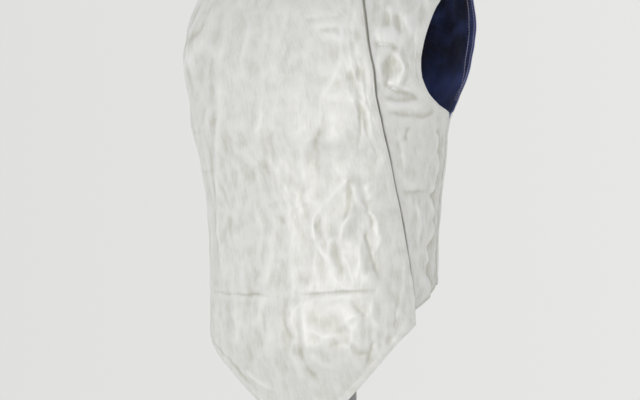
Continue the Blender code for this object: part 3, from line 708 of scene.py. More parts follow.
# Lamé: polyester woven with fine metal-coated thread. Silvery, with a soft broken sheen and upright ribs.
# The real ribs are about 0.5 mm apart, drawn coarser so that they show
lameLook = {
    # bright and shade are the cloth's colour in painted highlight and painted shade; the ribs', slubs' and
    # patches' own random tone moves between them too
    "bright": "#F4F4F2",
    "plain": "#E9E9E6",
    "shade": "#CFCFC5",
    "metallic": 0.45,
    "roughness": (0.44, 0.54),
    "ribs": (2.4, 15, 0.11),  # width and length in mm, and how much they tell in the tone
    "slubs": (5, 32, 0.08),
    "patches": (20, 0.14),
    "foldShare": 0.56,  # how much the painted shade and highlight of the folds tells
    "steps": (-0.1, 0.5, 1.0),  # tones at which the painted shade colour, the plain colour and the painted highlight colour are full
    "bump": 0.00022,
}


def makeLame():
    material, tree, shader = newMaterial("silverLame")
    uv = addNode(tree, "ShaderNodeTexCoord", {}).outputs["UV"]
    millimetres = scaledBy(tree, uv, (1000, 1000, 1000))
    ribWidth, ribLength, ribTell = lameLook["ribs"]
    slubWidth, slubLength, slubTell = lameLook["slubs"]
    patchSize, patchTell = lameLook["patches"]
    ribs = noise(tree, scaledBy(tree, millimetres, (1 / ribWidth, 1 / ribLength, 1)), 1.0, 3.0, 0.6)
    slubs = noise(tree, scaledBy(tree, millimetres, (1 / slubWidth, 1 / slubLength, 1)))
    patches = noise(tree, millimetres, 1 / patchSize, 5.0, 0.62)
    folds = addNode(tree, "ShaderNodeAttribute", {}, attribute_name="paintedFoldShading").outputs["Fac"]
    ribTone = ranged(tree, ribs, *noiseSpan, -ribTell, ribTell)
    slubTone = ranged(tree, slubs, *noiseSpan, 0.5 - slubTell, 0.5 + slubTell)
    patchTone = ranged(tree, patches, *noiseSpan, -patchTell, patchTell)
    tone = addNode(tree, "ShaderNodeMath", {0: ribTone, 1: slubTone}, operation="ADD").outputs[0]
    tone = addNode(tree, "ShaderNodeMath", {0: tone, 1: patchTone}, operation="ADD").outputs[0]
    # painted shade and highlight of the folds, added to the cloth's own random tone
    lit = weighed(tree, folds, lameLook["foldShare"], tone)
    dark, plain, bright = lameLook["steps"]
    low, high = ranged(tree, lit, dark, plain), ranged(tree, lit, plain, bright)
    lower = mixed(tree, low, colour(lameLook["shade"]), colour(lameLook["plain"]))
    base = mixed(tree, high, lower, colour(lameLook["bright"]))
    rough = ranged(tree, slubs, *noiseSpan, *lameLook["roughness"])
    relief = addNode(tree, "ShaderNodeMath", {0: ribs, 1: slubs}, operation="ADD").outputs[0]
    dress(tree, shader, base, rough, relief, lameLook["bump"])
    shader.inputs["Metallic"].default_value = lameLook["metallic"]
    return material


# Lining: navy polyester twill. Matt and dark, with a fine slanting line and a bluish sheen at a grazing angle
liningLook = {
    # light and dark are the navy lit and in painted shade; the painted shading of the folds and the twill's
    # and patches' own tone move between them
    "light": "#5263A6",
    "dark": "#191F3C",
    "roughness": 0.62,
    "twill": (1.1, 9),  # width and length of the slanting line in mm
    "slant": 0.9,
    "patch": 45,
    "foldShare": -0.25,  # the painted light and shade of the folds: darker where it is high
    "tones": (0.45, 1.05),
    "sheen": 0.15,
    "bump": 0.00012,
}


def makeLining():
    material, tree, shader = newMaterial("navyTwill")
    uv = addNode(tree, "ShaderNodeTexCoord", {}).outputs["UV"]
    turned = scaledBy(tree, uv, (1000, 1000, 1000), liningLook["slant"])
    twillWidth, twillLength = liningLook["twill"]
    twill = noise(tree, scaledBy(tree, turned, (1 / twillWidth, 1 / twillLength, 1)))
    patches = noise(tree, turned, 1 / liningLook["patch"], 3.0)
    folds = addNode(tree, "ShaderNodeAttribute", {}, attribute_name="paintedFoldShading").outputs["Fac"]
    tone = weighed(tree, folds, liningLook["foldShare"], weighed(tree, twill, 0.5, patches))
    share = ranged(tree, tone, *liningLook["tones"])
    base = mixed(tree, share, colour(liningLook["dark"]), colour(liningLook["light"]))
    dress(tree, shader, base, liningLook["roughness"], twill, liningLook["bump"])
    shader.inputs["Sheen Weight"].default_value = liningLook["sheen"]
    return material


# Plain finishes. Rows: light, dark, grain in mm, least and most roughness, bump
plainLooks = {
    "silverThread": ("#F2F2EF", "#DADAD6", 0.8, 0.4, 0.55, 0.00005),  # polyester thread, bright and smooth
    "lilacThread": ("#F3EEFF", "#D8D2F0", 0.8, 0.45, 0.6, 0.00005),  # the same, a little bluer
    "powderCoat": ("#A4A4A2", "#8F8F8D", 1.4, 0.36, 0.48, 0.00005),  # satin grey paint on steel, fine pits
    "mouldedNylon": ("#D6D5D0", "#C6C5BF", 2.2, 0.48, 0.62, 0.00008),  # matt pale plastic
}


def makePlain(name):
    light, dark, size, smoothest, roughest, distance = plainLooks[name]
    material, tree, shader = newMaterial(name)
    place = addNode(tree, "ShaderNodeTexCoord", {}).outputs["Object"]
    grain = noise(tree, place, 1000 / size, 3.0)
    wear = noise(tree, place, 14.0, 5.0)  # patches of about 7 cm
    share = ranged(tree, weighed(tree, grain, 0.5, wear), 0.5, 1.0)
    base = mixed(tree, share, colour(dark), colour(light))
    dress(tree, shader, base, ranged(tree, wear, *noiseSpan, smoothest, roughest), grain, distance)
    return material


finishes = {"lame": makeLame(), "lining": makeLining()}
finishes.update({name: makePlain(name) for name in plainLooks})
print("finishes made:", ", ".join(finishes))

# Panels of the vest. "flat" is the cut of what shows, in metres, and "area" its flat area
panels = {
    "over": {
        "node": "front_over",
        "half": front,
        "angleAt": overAngle,
        "columns": (112, 134),  # cells from the side to the neck, and on to the lap
        "rows": (204, 108),  # cells from the hem to the underarm, and on to the top
        "hem": overHem,
        "reach": form["neckFront"],
        "creases": overCreases,
        "flat": (0.44, 0.78),
        "area": 0.264,
        "liningArea": 0.253,
    },
    "under": {
        "node": "front_under",
        "half": front,
        "angleAt": underAngle,
        "columns": (40, 112),
        "rows": (128, 106),
        "hem": underHem,
        "reach": form["neckFront"],
        "creases": underCreases,
        "flat": (0.26, 0.60),
        "area": 0.0930,
        "liningArea": 0.0935,
    },
    "back": {
        "node": "back",
        "half": back,
        "angleAt": backAngle,
        "columns": (66, 80),
        "rows": (110, 106),
        "hem": backHem,
        "reach": form["neckBack"],
        "creases": backCreases,
        "flat": (0.47, 0.56),
        "area": 0.216,
        "liningArea": 0.2165,
    },
}
edging = {
    "grooves": (0.0022, 0.0072),  # the two rows of topstitching, in from the edge
    "grooveDepth": 0.00035,
    "grooveWidth": 0.0011,
    "doubled": (0.0100, 0.0020),  # reach of the doubled cloth, and the step down at its end
    "fullness": 0.0006,  # the doubled cloth stands proud
    "pucker": 0.0007,
    "puckers": (0.014, 0.016, 0.024),  # length, width and reach
    "round": 0.0006,
    "calm": 0.012,  # crinkles die down this close to an edge
    "calmShare": 0.25,  # what is left of them there
}
seaming = {
    "depth": 0.0009,
    "width": 0.0022,
    "pucker": 0.00084,
    "puckers": (0.011, 0.012, 0.020, 0.018),  # length, width, reach and how softly they start
}


def edgeRelief(gap, along):
    # sewn edge: proud doubled cloth, two pressed-in rows, and small puckers that cross them
    reach, step = edging["doubled"]
    relief = edging["fullness"] * softStep((reach - gap) / step)
    for groove in edging["grooves"]:
        relief -= edging["grooveDepth"] * np.exp(-(((gap - groove) / edging["grooveWidth"]) ** 2))
    length, width, reach = edging["puckers"]
    pucker = latticeNoise(along / length + 20, gap / width + 9, 31)
    return relief + edging["pucker"] * pucker * softStep((reach - gap) / reach)


def seamRelief(gap, along):
    # a seam sinks where the two pieces meet, and gathers the cloth beside it
    length, width, reach, start = seaming["puckers"]
    pucker = latticeNoise(along / length + 70, gap / width + 5, 37)
    valley = -seaming["depth"] * np.exp(-((gap / seaming["width"]) ** 2))
    return valley + seaming["pucker"] * pucker * softStep((reach - gap) / start)


def edgeRounding(gap, radius):
    # quarter circle at an edge: how far the face falls back
    return radius * (1 - np.sqrt(1 - np.clip(1 - gap / radius, 0, 1) ** 2))


def panelColumns(name):
    side, middle = panels[name]["columns"]
    if name == "back":
        outer, inner = spread(side, True, False), np.linspace(0, 1, middle + 1)
        return np.concatenate([outer[:-1] - 2, 2 * inner - 1, (2 - outer[::-1])[1:]])
    first = spread(side, True, False) - 1
    columns = np.concatenate([first[:-1], spread(middle, False, True)])
    extra = [-0.012, 0.005, 0.010, 0.016, 0.024] if name == "under" else []  # finer at the lap's line
    return np.unique(np.concatenate([columns, extra]))


def reliefAt(panel, angle, level, calm):
    # large folds, the listed creases and the small crinkles, faded towards the shoulder seam
    fade = softStep((form["shoulder"] - level) / 0.030)
    fine = fade * creaseHeight(panel["creases"], angle, level)
    fine += fade * calm * crinkleHeight(panel["half"], angle, level, "cloth")
    return largeFolds(panel["half"], angle, level) + fine, fine


rolling = {
    "wide": 0.036,  # at the wearer's left front, where the photo shows it
    "narrow": 0.012,
    "scallops": (0.42, 0.030),  # share of the width, and their length
    "frays": (0.0032, 0.008),  # depth and length of the small uneven parts of the line
    "step": 0.0060,
    "top": (-0.010, 0.030),  # where it starts below the underarm, and how softly
    "depth": 0.0024,
    # strength of the painted shade in the rolled band
    "tone": 0.62,
}


def sideRoll(half, angle, level):
    # beside the side seam the cloth rolls under along a scalloped line; gives its depth and the share of its
    # painted shade, 0 to 1
    inward = form["foldRadius"] * np.radians(half["side"] - np.abs(angle))
    place = np.sign(angle) * 4.5 + (20.5 if half is back else 9.5)
    wide = np.where((angle > 0) & (half is front), rolling["wide"], rolling["narrow"])
    share, length = rolling["scallops"]
    line = wide * (1 + share * facetNet(level / length + 40, place + 0 * level, 95))
    depth, length = rolling["frays"]
    line += depth * latticeNoise(level / length + 60, place + 0 * level, 96)
    top, start = rolling["top"]
    rolled = softStep((line - inward) / rolling["step"]) * softStep((top - level) / start)
    return rolled, rolled * np.clip(inward / np.maximum(line, 0.002), 0.0, 1.0)


lapping = {
    "crumple": 0.0008,
    "crumples": (0.007, 0.019),  # width and length of the crumples in the strip
    "strip": (0.007, 0.006, 0.034, 0.010),  # its two edges in from the lap's edge, each with its softness
    "stripFoot": (0.07, 0.06),
    "groove": 0.0026,
    "grooveWidth": (0.0013, 0.0029),  # above and below
    "grooveAt": (0.0004, 0.0018),  # beyond the lap's edge, above and below
    "deeper": 0.35,
    "low": (-0.080, 0.100),  # where the groove starts to widen, and over what height
    "end": (0.285, 0.012),
    "tone": 0.9,  # painted shadow in the groove
    "hemPaintedShade": 0.8,  # painted shade along the under panel's hem, where the cloth turns up
    "hemBand": (0.0060, 0.003),
}


def lapCrumple(angle, level):
    # a strip of crumpled cloth just inside the lap's edge, above the underarm
    inward = form["foldRadius"] * np.radians(lapAngle(level) - angle)
    near, nearSoft, far, farSoft = lapping["strip"]
    strip = softStep((inward - near) / nearSoft) * softStep((far - inward) / farSoft)
    foot, footSoft = lapping["stripFoot"]
    strip *= softStep((level + foot) / footSoft)
    width, length = lapping["crumples"]
    return lapping["crumple"] * strip * facetNet(inward / width + 30, level / length + 30, 97)


def lapGroove(angle, level):
    # the lap's edge presses a narrow groove into the panel below it, which widens and deepens below, where
    # the lap stands off; from 0 to a little over 1. It also sets the painted shadow laid in the groove
    start, height = lapping["low"]
    low = softStep((start - level) / height)
    near, far = lapping["grooveAt"]
    narrow, wide = lapping["grooveWidth"]
    beyond = form["foldRadius"] * np.radians(angle - lapAngle(level)) - near - (far - near) * low
    end, endSoft = lapping["end"]
    bell = np.exp(-((beyond / (narrow + (wide - narrow) * low)) ** 2)) * softStep((level + end) / endSoft)
    return (1 + lapping["deeper"] * low) * bell


toneFit = {"reach": 11, "height": 0.0013}  # painted shading: relief this high above its smoothed surroundings gets the full painted highlight, as deep below it the full painted shade


def makePanel(name):
    panel = panels[name]
    half = panel["half"]
    columns = panelColumns(name)
    angle, level = panelGrid(half, panel["angleAt"], columns, panel["hem"], panel["reach"], panel["rows"])
    bare = barePoint(half, angle, level)
    out = outward(half, angle, level)
    foot = int(np.argmin(np.abs(level[:, 0])))  # the row at the underarm
    onNeck = np.abs(angle[-1]) <= form["neckAngle"] + 0.05
    free, sewn = [bare[0], bare[-1, onNeck]], []
    for column, isSide in ((0, name != "under"), (-1, name != "over")):
        free.append(bare[foot:, column] if isSide else bare[:, column])
        if isSide:
            sewn.append(bare[: foot + 1, column])
    for shoulder in (bare[-1, angle[-1] < -form["neckAngle"]], bare[-1, angle[-1] > form["neckAngle"]]):
        if len(shoulder) > 1:
            sewn.append(shoulder)
    gap = np.minimum.reduce([gapTo(bare, line) for line in free])
    seamGap = np.minimum.reduce([gapTo(bare, line) for line in sewn])
    along = bare[..., 2] + 0.6 * form["foldRadius"] * np.radians(angle)  # grows along edges of any direction
    left = edging["calmShare"]
    relief, fine = reliefAt(panel, angle, level, left + (1 - left) * softStep(gap / edging["calm"]))
    rise = overlapRise(angle, level) if name == "over" else np.zeros_like(level)
    sewing = edgeRelief(gap, along) + seamRelief(seamGap, along)
    roll, rollPaintedShade = sideRoll(half, angle, level)
    sewing -= rolling["depth"] * roll
    if name == "over":
        sewing += lapCrumple(angle, level)
    if name == "under":
        groove = lapGroove(angle, level)
        sewing -= lapping["groove"] * groove
    rounding = edgeRounding(gap, edging["round"])
    face = relief + rise + sewing
    outer = bare + out * (face - rounding)[..., None]
    inner = bare + out * (face - form["cloth"] + rounding)[..., None]
    radius = np.hypot(np.gradient(bare[..., 0], axis=1), np.gradient(bare[..., 1], axis=1))
    u = np.cumsum(radius, axis=1)
    middle = int(np.argmin(np.abs(columns)))
    u = u - u[:, middle : middle + 1]
    v = np.cumsum(np.linalg.norm(np.gradient(bare, axis=0), axis=-1), axis=0)
    v = v + (level[0] - v[0])
    flat = np.stack([u, v], axis=-1)
    # painted shade in the hollows and painted highlight on the ridges of the relief, and painted shade in the
    # rolled band beside the side seam
    local = fine + sewing
    tone = (local - smoothed(local, toneFit["reach"])) / toneFit["height"] - rolling["tone"] * rollPaintedShade
    if name == "under":
        # painted shade along the under panel's hem
        band, bandSoft = lapping["hemBand"]
        tone -= lapping["hemPaintedShade"] * softStep((band - gapTo(bare, bare[0])) / bandSoft)
        # painted shadow in the groove under the lap's edge
        tone -= lapping["tone"] * groove
    tone = np.clip(tone, -1, 1)
    piece = shell(name + "Cloth", outer, inner, finishes["lame"], flat, tone, every=3)
    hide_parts(panel["node"])
    panel.update(angle=angle, level=level, foot=foot, cloth=piece, outer=outer, out=out, face=face, gap=gap)
    panel.update(flatGrid=flat)
    print(name, "cloth:", outer.shape[:2], "area", round(gridArea(outer), 4))


def gridArea(points):
    # printed for the sheets' areas
    across = np.diff(points, axis=1)[:-1]
    up = np.diff(points, axis=0)[:, :-1]
    return float(np.linalg.norm(np.cross(across, up), axis=-1).sum())


# Linings hang just inside the cloth, a little short of its edges
liningFit = {
    "inset": 0.0011,
    "piping": 0.0012,  # the back's lining reaches past the cloth's edge
    "wall": 0.0010,
    "wave": 0.0060,  # its folds hang inwards by this much at most
    "level": 0.0012,  # waves higher than this lie flat against the cloth
    "slack": (0.016, 0.225, 0.040),  # from the edges; from the top, and how softly
    "every": 2,
    "facing": 5,
    "slopePaintedShading": 0.00070,  # painted light and shade on the lining's folds by their slope: a slope of this much a cell gets the full amount
    "calm": 0.012,  # the painted light and shade fade this close to an edge
    "light": 0.90,  # lightens the whole back lining, against which the painted deep shade is laid
    "deepPaintedShade": 1.9,
    "deep": (68, 13, 0.030, 0.060),  # angle and level where the painted dark starts, each with its softness
}


def makeLiningOf(name):
    panel = panels[name]
    every = liningFit["every"]
    keep = [picked(count, every) for count in panel["level"].shape]
    if name == "over":
        keep[1] = keep[1][: -liningFit["facing"]]  # the cloth's turned-in facing shows along the lap's edge
    pick = np.ix_(*keep)
    angle, level, gap = panel["angle"][pick], panel["level"][pick], panel["gap"][pick]
    out, face = panel["out"][pick], panel["face"][pick]
    wave = crinkleHeight(panel["half"], angle, level, "lining") - liningFit["level"]
    edge, high, soft = liningFit["slack"]
    slack = softStep(gap / edge) * softStep((high - level) / soft)
    inward = np.clip(-wave, 0.0, liningFit["wave"]) * slack
    if name == "under":
        inward *= softStep((angle - lapAngle(level)) / 8 + 0.2)
    top = -(form["cloth"] + form["play"])
    lining = barePoint(panel["half"], angle, level)
    outerFace = lining + out * (face + top)[..., None]
    innerFace = lining + out * (face + top - liningFit["wall"] - inward)[..., None]
    for faceGrid in (outerFace, innerFace):
        pullIn(faceGrid, liningFit["inset"] if name != "back" else -liningFit["piping"])
    flat = panel["flatGrid"][pick]
    # painted light and shade on the lining's folds, from their slope one way across the cells, as if lit from
    # one side
    folded = smoothed(np.clip(-wave, 0.0, liningFit["wave"]), 1)
    slope = np.gradient(folded, axis=0) - 0.8 * np.gradient(folded, axis=1)
    tone = np.clip(slope / liningFit["slopePaintedShading"], -1, 1) * softStep(gap / liningFit["calm"])
    if name == "back":
        # little light reaches the middle of the back's inside, so its shade is laid in the lining's colour
        turn, turnSoft, low, lowSoft = liningFit["deep"]
        deep = softStep((turn - np.abs(angle)) / turnSoft) * softStep((level - low) / lowSoft)
        tone = np.clip(tone - liningFit["light"] + liningFit["deepPaintedShade"] * deep, -1.3, 1)
    piece = shell(name + "Lining", outerFace, innerFace, finishes["lining"], flat, tone)
    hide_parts(panel["node"] + "_lining")
    panel.update(liningFace=innerFace, liningOut=-out, liningFoot=int(np.argmin(np.abs(level[:, 0]))))


def pullIn(grid, distance):
    # moves the border points of a grid towards their inner neighbours by a set distance
    for index, inner in ((0, 2), (-1, -3)):
        grid[index] += unit(grid[inner] - grid[index]) * distance
        grid[:, index] += unit(grid[:, inner] - grid[:, index]) * distance


for name in panels:
    makePanel(name)
    makeLiningOf(name)

# Collar: a doubled band just inside the neckline, with a rounded top edge and two rows of topstitching
collar = {
    "height": 0.040,
    "wall": 0.0024,
    "play": 0.0014,
    "tuck": 0.0016,  # its foot lies this far below the neckline's edge
    "lean": 0.10,  # how far it leans inwards, as a share of its height
    "evening": 52,  # points each way over which its top edge is evened out
    # waves of its stiff cloth: height, length, width, part of the noise, seed
    "waves": ((0.0005, 0.016, 0.022, 8, 71), (0.0003, 0.006, 0.014, 3, 72)),
    "calm": 0.004,  # the waves die down this close to an edge
    "sewing": 0.6,  # share of an edge's sewing relief
    "limits": (-0.0008, 0.0006),  # of its relief
    "inside": 0.5,  # share of the waves that shows inside
    # painted shade in the hollows and painted highlight on the ridges: reach of the smoothing, and the relief
    # height for the full amount
    "toneReach": 6,
    "toneHeight": 0.0009,
    "cells": 150,
    "rows": 26,
    "round": 0.0011,
    "flat": (0.43, 0.042),
    "area": 0.0172,
}


def neckLine(half, angles, reach):
    return barePoint(half, angles, topLevel(half, lambda level: angles + 0 * level, reach))


def makeCollar():
    # the neckline's points carry a profile that leans inwards; its top edge is the foot's, evened out
    neck = form["neckAngle"]
    slit = math.degrees(form["play"] / form["neckHalfWidth"])
    frontLine = neckLine(front, np.linspace(neck - slit, -neck, collar["cells"] + 1), form["neckFront"])
    backLine = neckLine(back, np.linspace(-neck, neck - slit, collar["cells"] + 1), form["neckBack"])
    point = np.concatenate([frontLine[:-1], backLine])
    length = lengthAlong(point)
    even = np.linspace(0.0, length[-1], 2 * collar["cells"])
    point = pointsAt(even, length, point)
    centre = np.array([0.0, form["shoulderY"] + (form["neckBack"] - form["neckFront"]) / 2, 0.0])
    away = unit((point - centre) * np.array([1.0, 1.0, 0.0]))
    foot = point - away * collar["play"] - np.array([0.0, 0.0, collar["tuck"]])
    reach = collar["evening"]
    weights = np.hanning(2 * reach + 3)[1:-1]
    padded = np.concatenate([foot[-1 - reach : -1, 2], foot[:, 2], foot[1 : 1 + reach, 2]])
    top = foot - away * collar["lean"] * collar["height"]
    top[:, 2] = np.convolve(padded, weights / weights.sum(), mode="valid") + collar["height"]
    share = spread(collar["rows"], True, True)[:, None]
    bare = foot + (top - foot) * share[..., None]
    up = share * collar["height"]
    gap = np.minimum(up, collar["height"] - up) + 0 * even
    seam = np.minimum(even, length[-1] - even) + 0 * up
    gap = np.minimum(gap, seam)
    wave = sum(
        height * latticeNoise(even / wide + start, up / tall + 4, seed)
        for height, wide, tall, start, seed in collar["waves"]
    )
    relief = (edgeRelief(gap, even + 0 * up) - edging["fullness"]) * collar["sewing"]
    relief += wave * softStep(gap / collar["calm"])
    rounding = edgeRounding(gap, collar["round"])
    outer = bare + away * (np.clip(relief, *collar["limits"]) - rounding)[..., None]
    inner = bare - away * (collar["wall"] + collar["inside"] * wave - rounding)[..., None]
    flat = np.stack([even + 0 * up, up + 0 * even], axis=-1)
    # painted shade and highlight from the relief
    tone = np.clip((relief - smoothed(relief, collar["toneReach"])) / collar["toneHeight"], -1, 1)
    piece = shell("collarBand", outer, inner, finishes["lame"], flat, tone)
    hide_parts("collar")
    print("collar: length", round(length[-1], 3), "area", round(gridArea(outer), 4))
    return piece, outer, np.broadcast_to(away, outer.shape)


collarBand, collarFace, collarOut = makeCollar()

# Thread. Each stitch is a short bead with 6 sides that bows up out of the cloth
stitch = {
    "pitch": 0.0034,
    "length": 0.0026,
    "radius": 0.00032,
    "bow": 0.00022,
    "slant": 0.0,  # radians from the row's own direction
    "rings": 5,
    "sides": 6,
    "ends": 0.985,  # share of the bead's half length where its outermost rings lie
    "step": 0.0008,  # along the row, for its direction
}
boldStitch = dict(stitch, pitch=0.0042, length=0.0035, radius=0.00055)
slantStitch = dict(stitch, pitch=0.0040, length=0.0040, radius=0.00045, slant=0.7)


def stitchBeads(line, out, look=stitch):
    # beads along a line: a circle whose radius follows a half ellipse, carried along a shallow arch
    length = lengthAlong(line)
    count = int(length[-1] // look["pitch"])
    if count < 1:
        return np.zeros((0, 3)), np.zeros((0, 4), dtype=int)
    middle = (np.arange(count) + 0.5) * look["pitch"]
    place = pointsAt(middle, length, line)
    step = look["step"]
    along = unit(pointsAt(middle + step, length, line) - pointsAt(middle - step, length, line))
    up = pointsAt(middle, length, out)
    up = unit(up - along * np.sum(up * along, axis=1, keepdims=True))
    side = np.cross(along, up)
    along = along * math.cos(look["slant"]) + side * math.sin(look["slant"])
    side = np.cross(along, up)
    share = np.linspace(-look["ends"], look["ends"], look["rings"])
    turn = np.linspace(0, 2 * np.pi, look["sides"], endpoint=False)
    swell = look["radius"] * np.sqrt(1 - share**2)
    arch = look["bow"] * (1 - share**2)
    centres = place[:, None] + along[:, None] * (share * look["length"] / 2)[None, :, None]
    centres = centres + up[:, None] * arch[None, :, None]
    ring = side[:, None] * np.cos(turn)[:, None] + up[:, None] * np.sin(turn)[:, None]
    points = centres[:, :, None] + ring[:, None] * swell[None, :, None, None]
    rings, sides = look["rings"], look["sides"]
    index = np.arange(rings * sides).reshape(rings, sides)
    after = np.roll(index, -1, axis=1)
    faces = np.stack([index[:-1], index[1:], after[1:], after[:-1]], axis=-1).reshape(-1, 4)
    allFaces = faces[None] + (np.arange(count) * rings * sides)[:, None, None]
    return points.reshape(-1, 3), allFaces.reshape(-1, 4)


def stitchPiece(name, lines, finish="silverThread", looks=(stitch,)):
    # the looks take turns over the lines
    parts, faces, total = [], [], 0
    for number, (line, out) in enumerate(lines):
        points, quads = stitchBeads(line, out, looks[number % len(looks)])
        parts.append(points)
        faces.append(quads + total)
        total += len(points)
    makePiece(name, np.concatenate(parts), [np.concatenate(faces)], finishes[finish])
    print(name, "stitches:", total // (stitch["rings"] * stitch["sides"]))


liningRows = (0.0030, 0.0140)  # the same two rows on the lining's side, where the wider turning shows


stitchReach = 24  # cells from an edge, past every row of stitches


def edgeFirst(grid, edge):
    # turns a grid so that its second index counts inwards from the edge named
    turned = grid.transpose(1, 0, 2) if edge in ("hem", "top") else grid
    return turned[:, ::-1] if edge in ("top", "right") else turned


def insideLine(grid, out, distance, edge):
    # line on a grid of points at a set distance in from one of its edges, measured along the grid's lines
    turned, normals = edgeFirst(grid, edge), edgeFirst(out, edge)
    steps = np.linalg.norm(np.diff(turned[:, :stitchReach], axis=1), axis=-1)
    length = np.concatenate([np.zeros((len(turned), 1)), np.cumsum(steps, axis=1)], axis=1)
    cell = np.clip((length < distance).sum(axis=1) - 1, 0, stitchReach - 2)
    row = np.arange(len(turned))
    part = ((distance - length[row, cell]) / (length[row, cell + 1] - length[row, cell]))[:, None]
    point = turned[row, cell] * (1 - part) + turned[row, cell + 1] * part
    return point, unit(normals[row, cell])


def panelLines(name, edge, face="outer", trim=2):
    panel = panels[name]
    out = panel["out"] if face == "outer" else panel["liningOut"]
    return [
        tuple(item[trim:-trim] for item in insideLine(panel[face], out, groove, edge))
        for groove in (edging["grooves"] if face == "outer" else liningRows)
    ]


# Stand: profiles as (radius, height) rows, turned about the pole
standSides = 128
baseProfile = (
    (0.0, 0.0), (0.1560, 0.0), (0.1585, 0.0007), (0.1600, 0.0025), (0.1600, 0.0070), (0.1594, 0.0092),
    (0.1576, 0.0110), (0.1550, 0.0120), (0.0290, 0.0120), (0.0266, 0.0124), (0.0248, 0.0136),
    (0.0240, 0.0155), (0.0240, 0.0370), (0.0236, 0.0385), (0.0225, 0.0396), (0.0210, 0.0400),
    (0.0134, 0.0400), (0.0128, 0.0394), (0.0128, 0.0100), (0.0, 0.0100),
)


def turnedPiece(name, profile, finish, node):
    # the profile's rows are carried round the pole's axis; near each corner they lie closer
    rows = np.array(profile)
    turn = np.linspace(0, 2 * np.pi, standSides, endpoint=False)
    radius, height = rows[1:-1].T[:, :, None]
    rings = np.stack([radius * np.cos(turn), radius * np.sin(turn), height + 0 * turn], axis=-1)
    count, around = rings.shape[:2]
    index = np.arange(count * around).reshape(count, around)
    after = np.roll(index, -1, axis=1)
    walls = np.stack([index[:-1], after[:-1], after[1:], index[1:]], axis=-1).reshape(-1, 4)
    ends = np.array([[0, 0, rows[0][1]], [0, 0, rows[-1][1]]])
    first, last = index.size, index.size + 1
    caps = np.concatenate(
        [
            np.stack([np.full(around, first), after[0], index[0], index[0]], 1),
            np.stack([np.full(around, last), index[-1], after[-1], after[-1]], 1),
        ]
    )
    points = np.concatenate([rings.reshape(-1, 3), ends])
    mesh = bpy.data.meshes.new(name)
    mesh.from_pydata(points, [], [list(f) for f in walls] + [list(f[:3]) for f in caps])
    mesh.validate()
    mesh.update()
    mesh.shade_smooth()
    mesh.set_sharp_from_angle(angle=math.radians(50))
    piece = addObject(name, mesh, finishes[finish])
    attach(piece, "root")
    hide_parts(node)
    return piece


poleTop = form["underarm"] + 0.249 - form["play"]
poleProfile = (
    (0.0, 0.0103), (0.0120, 0.0103), (0.0125, 0.0108), (0.0125, poleTop - 0.0115),
    (0.0130, poleTop - 0.0098), (0.0160, poleTop - 0.0072), (0.0178, poleTop - 0.0062),
    (0.0180, poleTop - 0.0054), (0.0180, poleTop - 0.0008), (0.0174, poleTop), (0.0, poleTop),
)
turnedPiece("standBase", baseProfile, "powderCoat", "stand_base")
turnedPiece("standPole", poleProfile, "powderCoat", "stand_pole")
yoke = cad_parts["stand_yoke"]
for spot in yoke.material_slots:
    spot.material = finishes["mouldedNylon"]
print("stand made")

# Stitching, two rows along every sewn edge
over, under, rear = panels["over"], panels["under"], panels["back"]
stitchPiece("lapStitching", panelLines("over", "right"))
stitchPiece("hemStitching", [line for name in panels for line in panelLines(name, "hem")])
sides = (("over", "left"), ("under", "right"), ("back", "left"), ("back", "right"))


def armholeLines(name, edge, face="outer"):
    # the second row starts higher, where it is clear of the armhole's foot
    foot = panels[name]["foot" if face == "outer" else "liningFoot"]
    return [
        (line[foot + start :], out[foot + start :])
        for (line, out), start in zip(panelLines(name, edge, face), (2, 5 if face == "outer" else 2))
    ]


stitchPiece("armholeStitching", [line for side in sides for line in armholeLines(*side)])
inside = [line for side in sides for line in armholeLines(*side, "liningFace")]
stitchPiece("liningStitching", inside, "lilacThread", (slantStitch, boldStitch))


def sideLines(name, edge):
    panel = panels[name]
    return [(line[: panel["foot"] - 1], out[: panel["foot"] - 1]) for line, out in panelLines(name, edge)]


stitchPiece("seamStitching", [line for side in sides for line in sideLines(*side)])
collarRows = [
    tuple(item[3:-3] for item in insideLine(collarFace, collarOut, distance, edge))
    for edge, distance in (("top", 0.0030), ("hem", 0.0040))
]
stitchPiece("collarStitching", collarRows)
print("stitching made")

# Camera at the photo's angle, a pale floor and soft studio light
studio = {
    "azimuth": 32.0,
    "elevation": 1.0,
    "distance": 6.0,
    "lens": 243.0,
    "pixels": 720.0,  # photo pixels to the metre
    "aim": (347.6, 113.0),  # where the pole's axis and the underarm lie in the 640 x 400 photo
    "backdrop": ("#E0E1DF", "#E7E7E5"),  # at the picture's left and right
    "surround": 0.685,
    "floor": 3.6,
}


def wayTo(azimuth, elevation):
    # direction from the vest, counted from its front towards its left
    turn, tilt = math.radians(azimuth), math.radians(elevation)
    return Vector((math.sin(turn) * math.cos(tilt), -math.cos(turn) * math.cos(tilt), math.sin(tilt)))


def setUp(name, data, place, way):
    # a camera or light at its place, looking back along the way
    thing = bpy.data.objects.new(name, data)
    thing.location = place
    thing.rotation_mode = "QUATERNION"
    thing.rotation_quaternion = (-way).to_track_quat("-Z", "Y")
    bpy.context.scene.collection.objects.link(thing)
    return thing


def makeCamera():
    turn = math.radians(studio["azimuth"])
    right = Vector((math.cos(turn), math.sin(turn), 0.0))
    toward = wayTo(studio["azimuth"], studio["elevation"])
    target = Vector((0, 0, form["underarm"])) + right * ((320 - studio["aim"][0]) / studio["pixels"])
    target.z -= (200 - studio["aim"][1]) / studio["pixels"]
    lens = bpy.data.cameras.new("camera")
    lens.sensor_width = 36.0
    lens.lens = studio["lens"]
    camera = setUp("camera", lens, target + toward * studio["distance"], toward)
    bpy.context.scene.camera = camera
    return right


right = makeCamera()
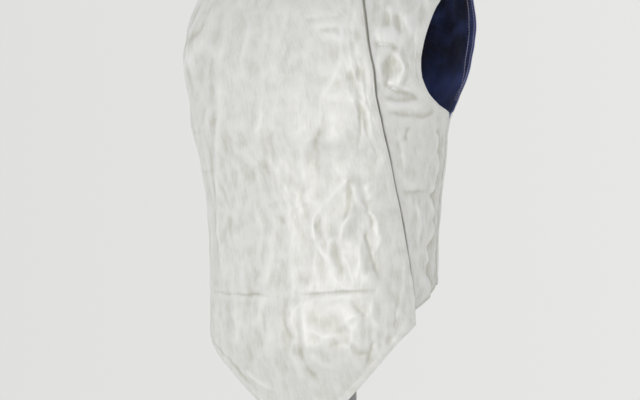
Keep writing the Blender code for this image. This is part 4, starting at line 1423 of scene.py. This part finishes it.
# Rows: name, azimuth from front to left, elevation, distance, width, height, watts, colour
softboxes = (
    ("frontStrip", 0.0, -10.5, 3.0, 2.1, 0.34, 9.6, "#FFFDFA"),
    ("upperBox", -2.0, 27.0, 3.2, 2.0, 1.8, 4.8, "#FFFFFF"),
    ("leftBox", -62.0, 4.0, 3.2, 1.8, 1.7, 2.3, "#FBFCFF"),
    ("rightBox", 72.0, 8.0, 3.0, 1.1, 1.6, 0.8, "#F8FAFF"),
    ("rearBox", 205.0, 30.0, 3.4, 2.2, 2.2, 30, "#FFFFFF"),
)


def makeLights():
    middle = Vector((0.0, -0.05, form["underarm"] - 0.05))
    for name, azimuth, elevation, distance, width, height, watts, tint in softboxes:
        light = bpy.data.lights.new(name, "AREA")
        light.shape = "ELLIPSE"
        light.size = width
        light.size_y = height
        light.energy = watts
        light.color = colour(tint)[:3]
        way = wayTo(azimuth, elevation)
        setUp(name, light, middle + way * distance, way)


def makeSurround():
    # the backdrop's pale grey, dimmer as a light than as seen, so that the softboxes shape the cloth
    world = bpy.data.worlds.new("studio")
    world.use_nodes = True
    tree = world.node_tree
    tree.nodes.clear()
    seen = addNode(tree, "ShaderNodeLightPath", {}).outputs["Is Camera Ray"]
    way = addNode(tree, "ShaderNodeTexCoord", {}).outputs["Generated"]
    across = addNode(tree, "ShaderNodeVectorMath", {0: way, 1: right}, operation="DOT_PRODUCT")
    share = ranged(tree, across.outputs["Value"], -0.08, 0.08)
    leftTone, rightTone = (colour(code) for code in studio["backdrop"])
    tint = mixed(tree, share, leftTone, rightTone)
    pale = addNode(tree, "ShaderNodeBackground", {"Color": tint, "Strength": 1.0}).outputs[0]
    white = {"Color": colour("#FFFFFF"), "Strength": studio["surround"]}
    dim = addNode(tree, "ShaderNodeBackground", white).outputs[0]
    both = addNode(tree, "ShaderNodeMixShader", {0: seen, 1: dim, 2: pale}).outputs[0]
    addNode(tree, "ShaderNodeOutputWorld", {"Surface": both})
    bpy.context.scene.world = world


def makeFloor():
    turn = np.linspace(0, 2 * np.pi, 96, endpoint=False)
    radius, drop = studio["floor"], 0.0004  # just below the stand's base
    rim = np.stack([radius * np.cos(turn), radius * np.sin(turn), 0 * turn - drop], axis=-1)
    mesh = bpy.data.meshes.new("floor")
    mesh.from_pydata(rim, [], [list(range(96))])
    mesh.update()
    material, tree, shader = newMaterial("paperFloor")
    shader.inputs["Base Color"].default_value = colour("#F4F4F2")
    shader.inputs["Roughness"].default_value = 0.8
    addObject("floor", mesh, material)


makeLights()
makeSurround()
makeFloor()
bpy.context.scene.view_settings.view_transform = "Standard"
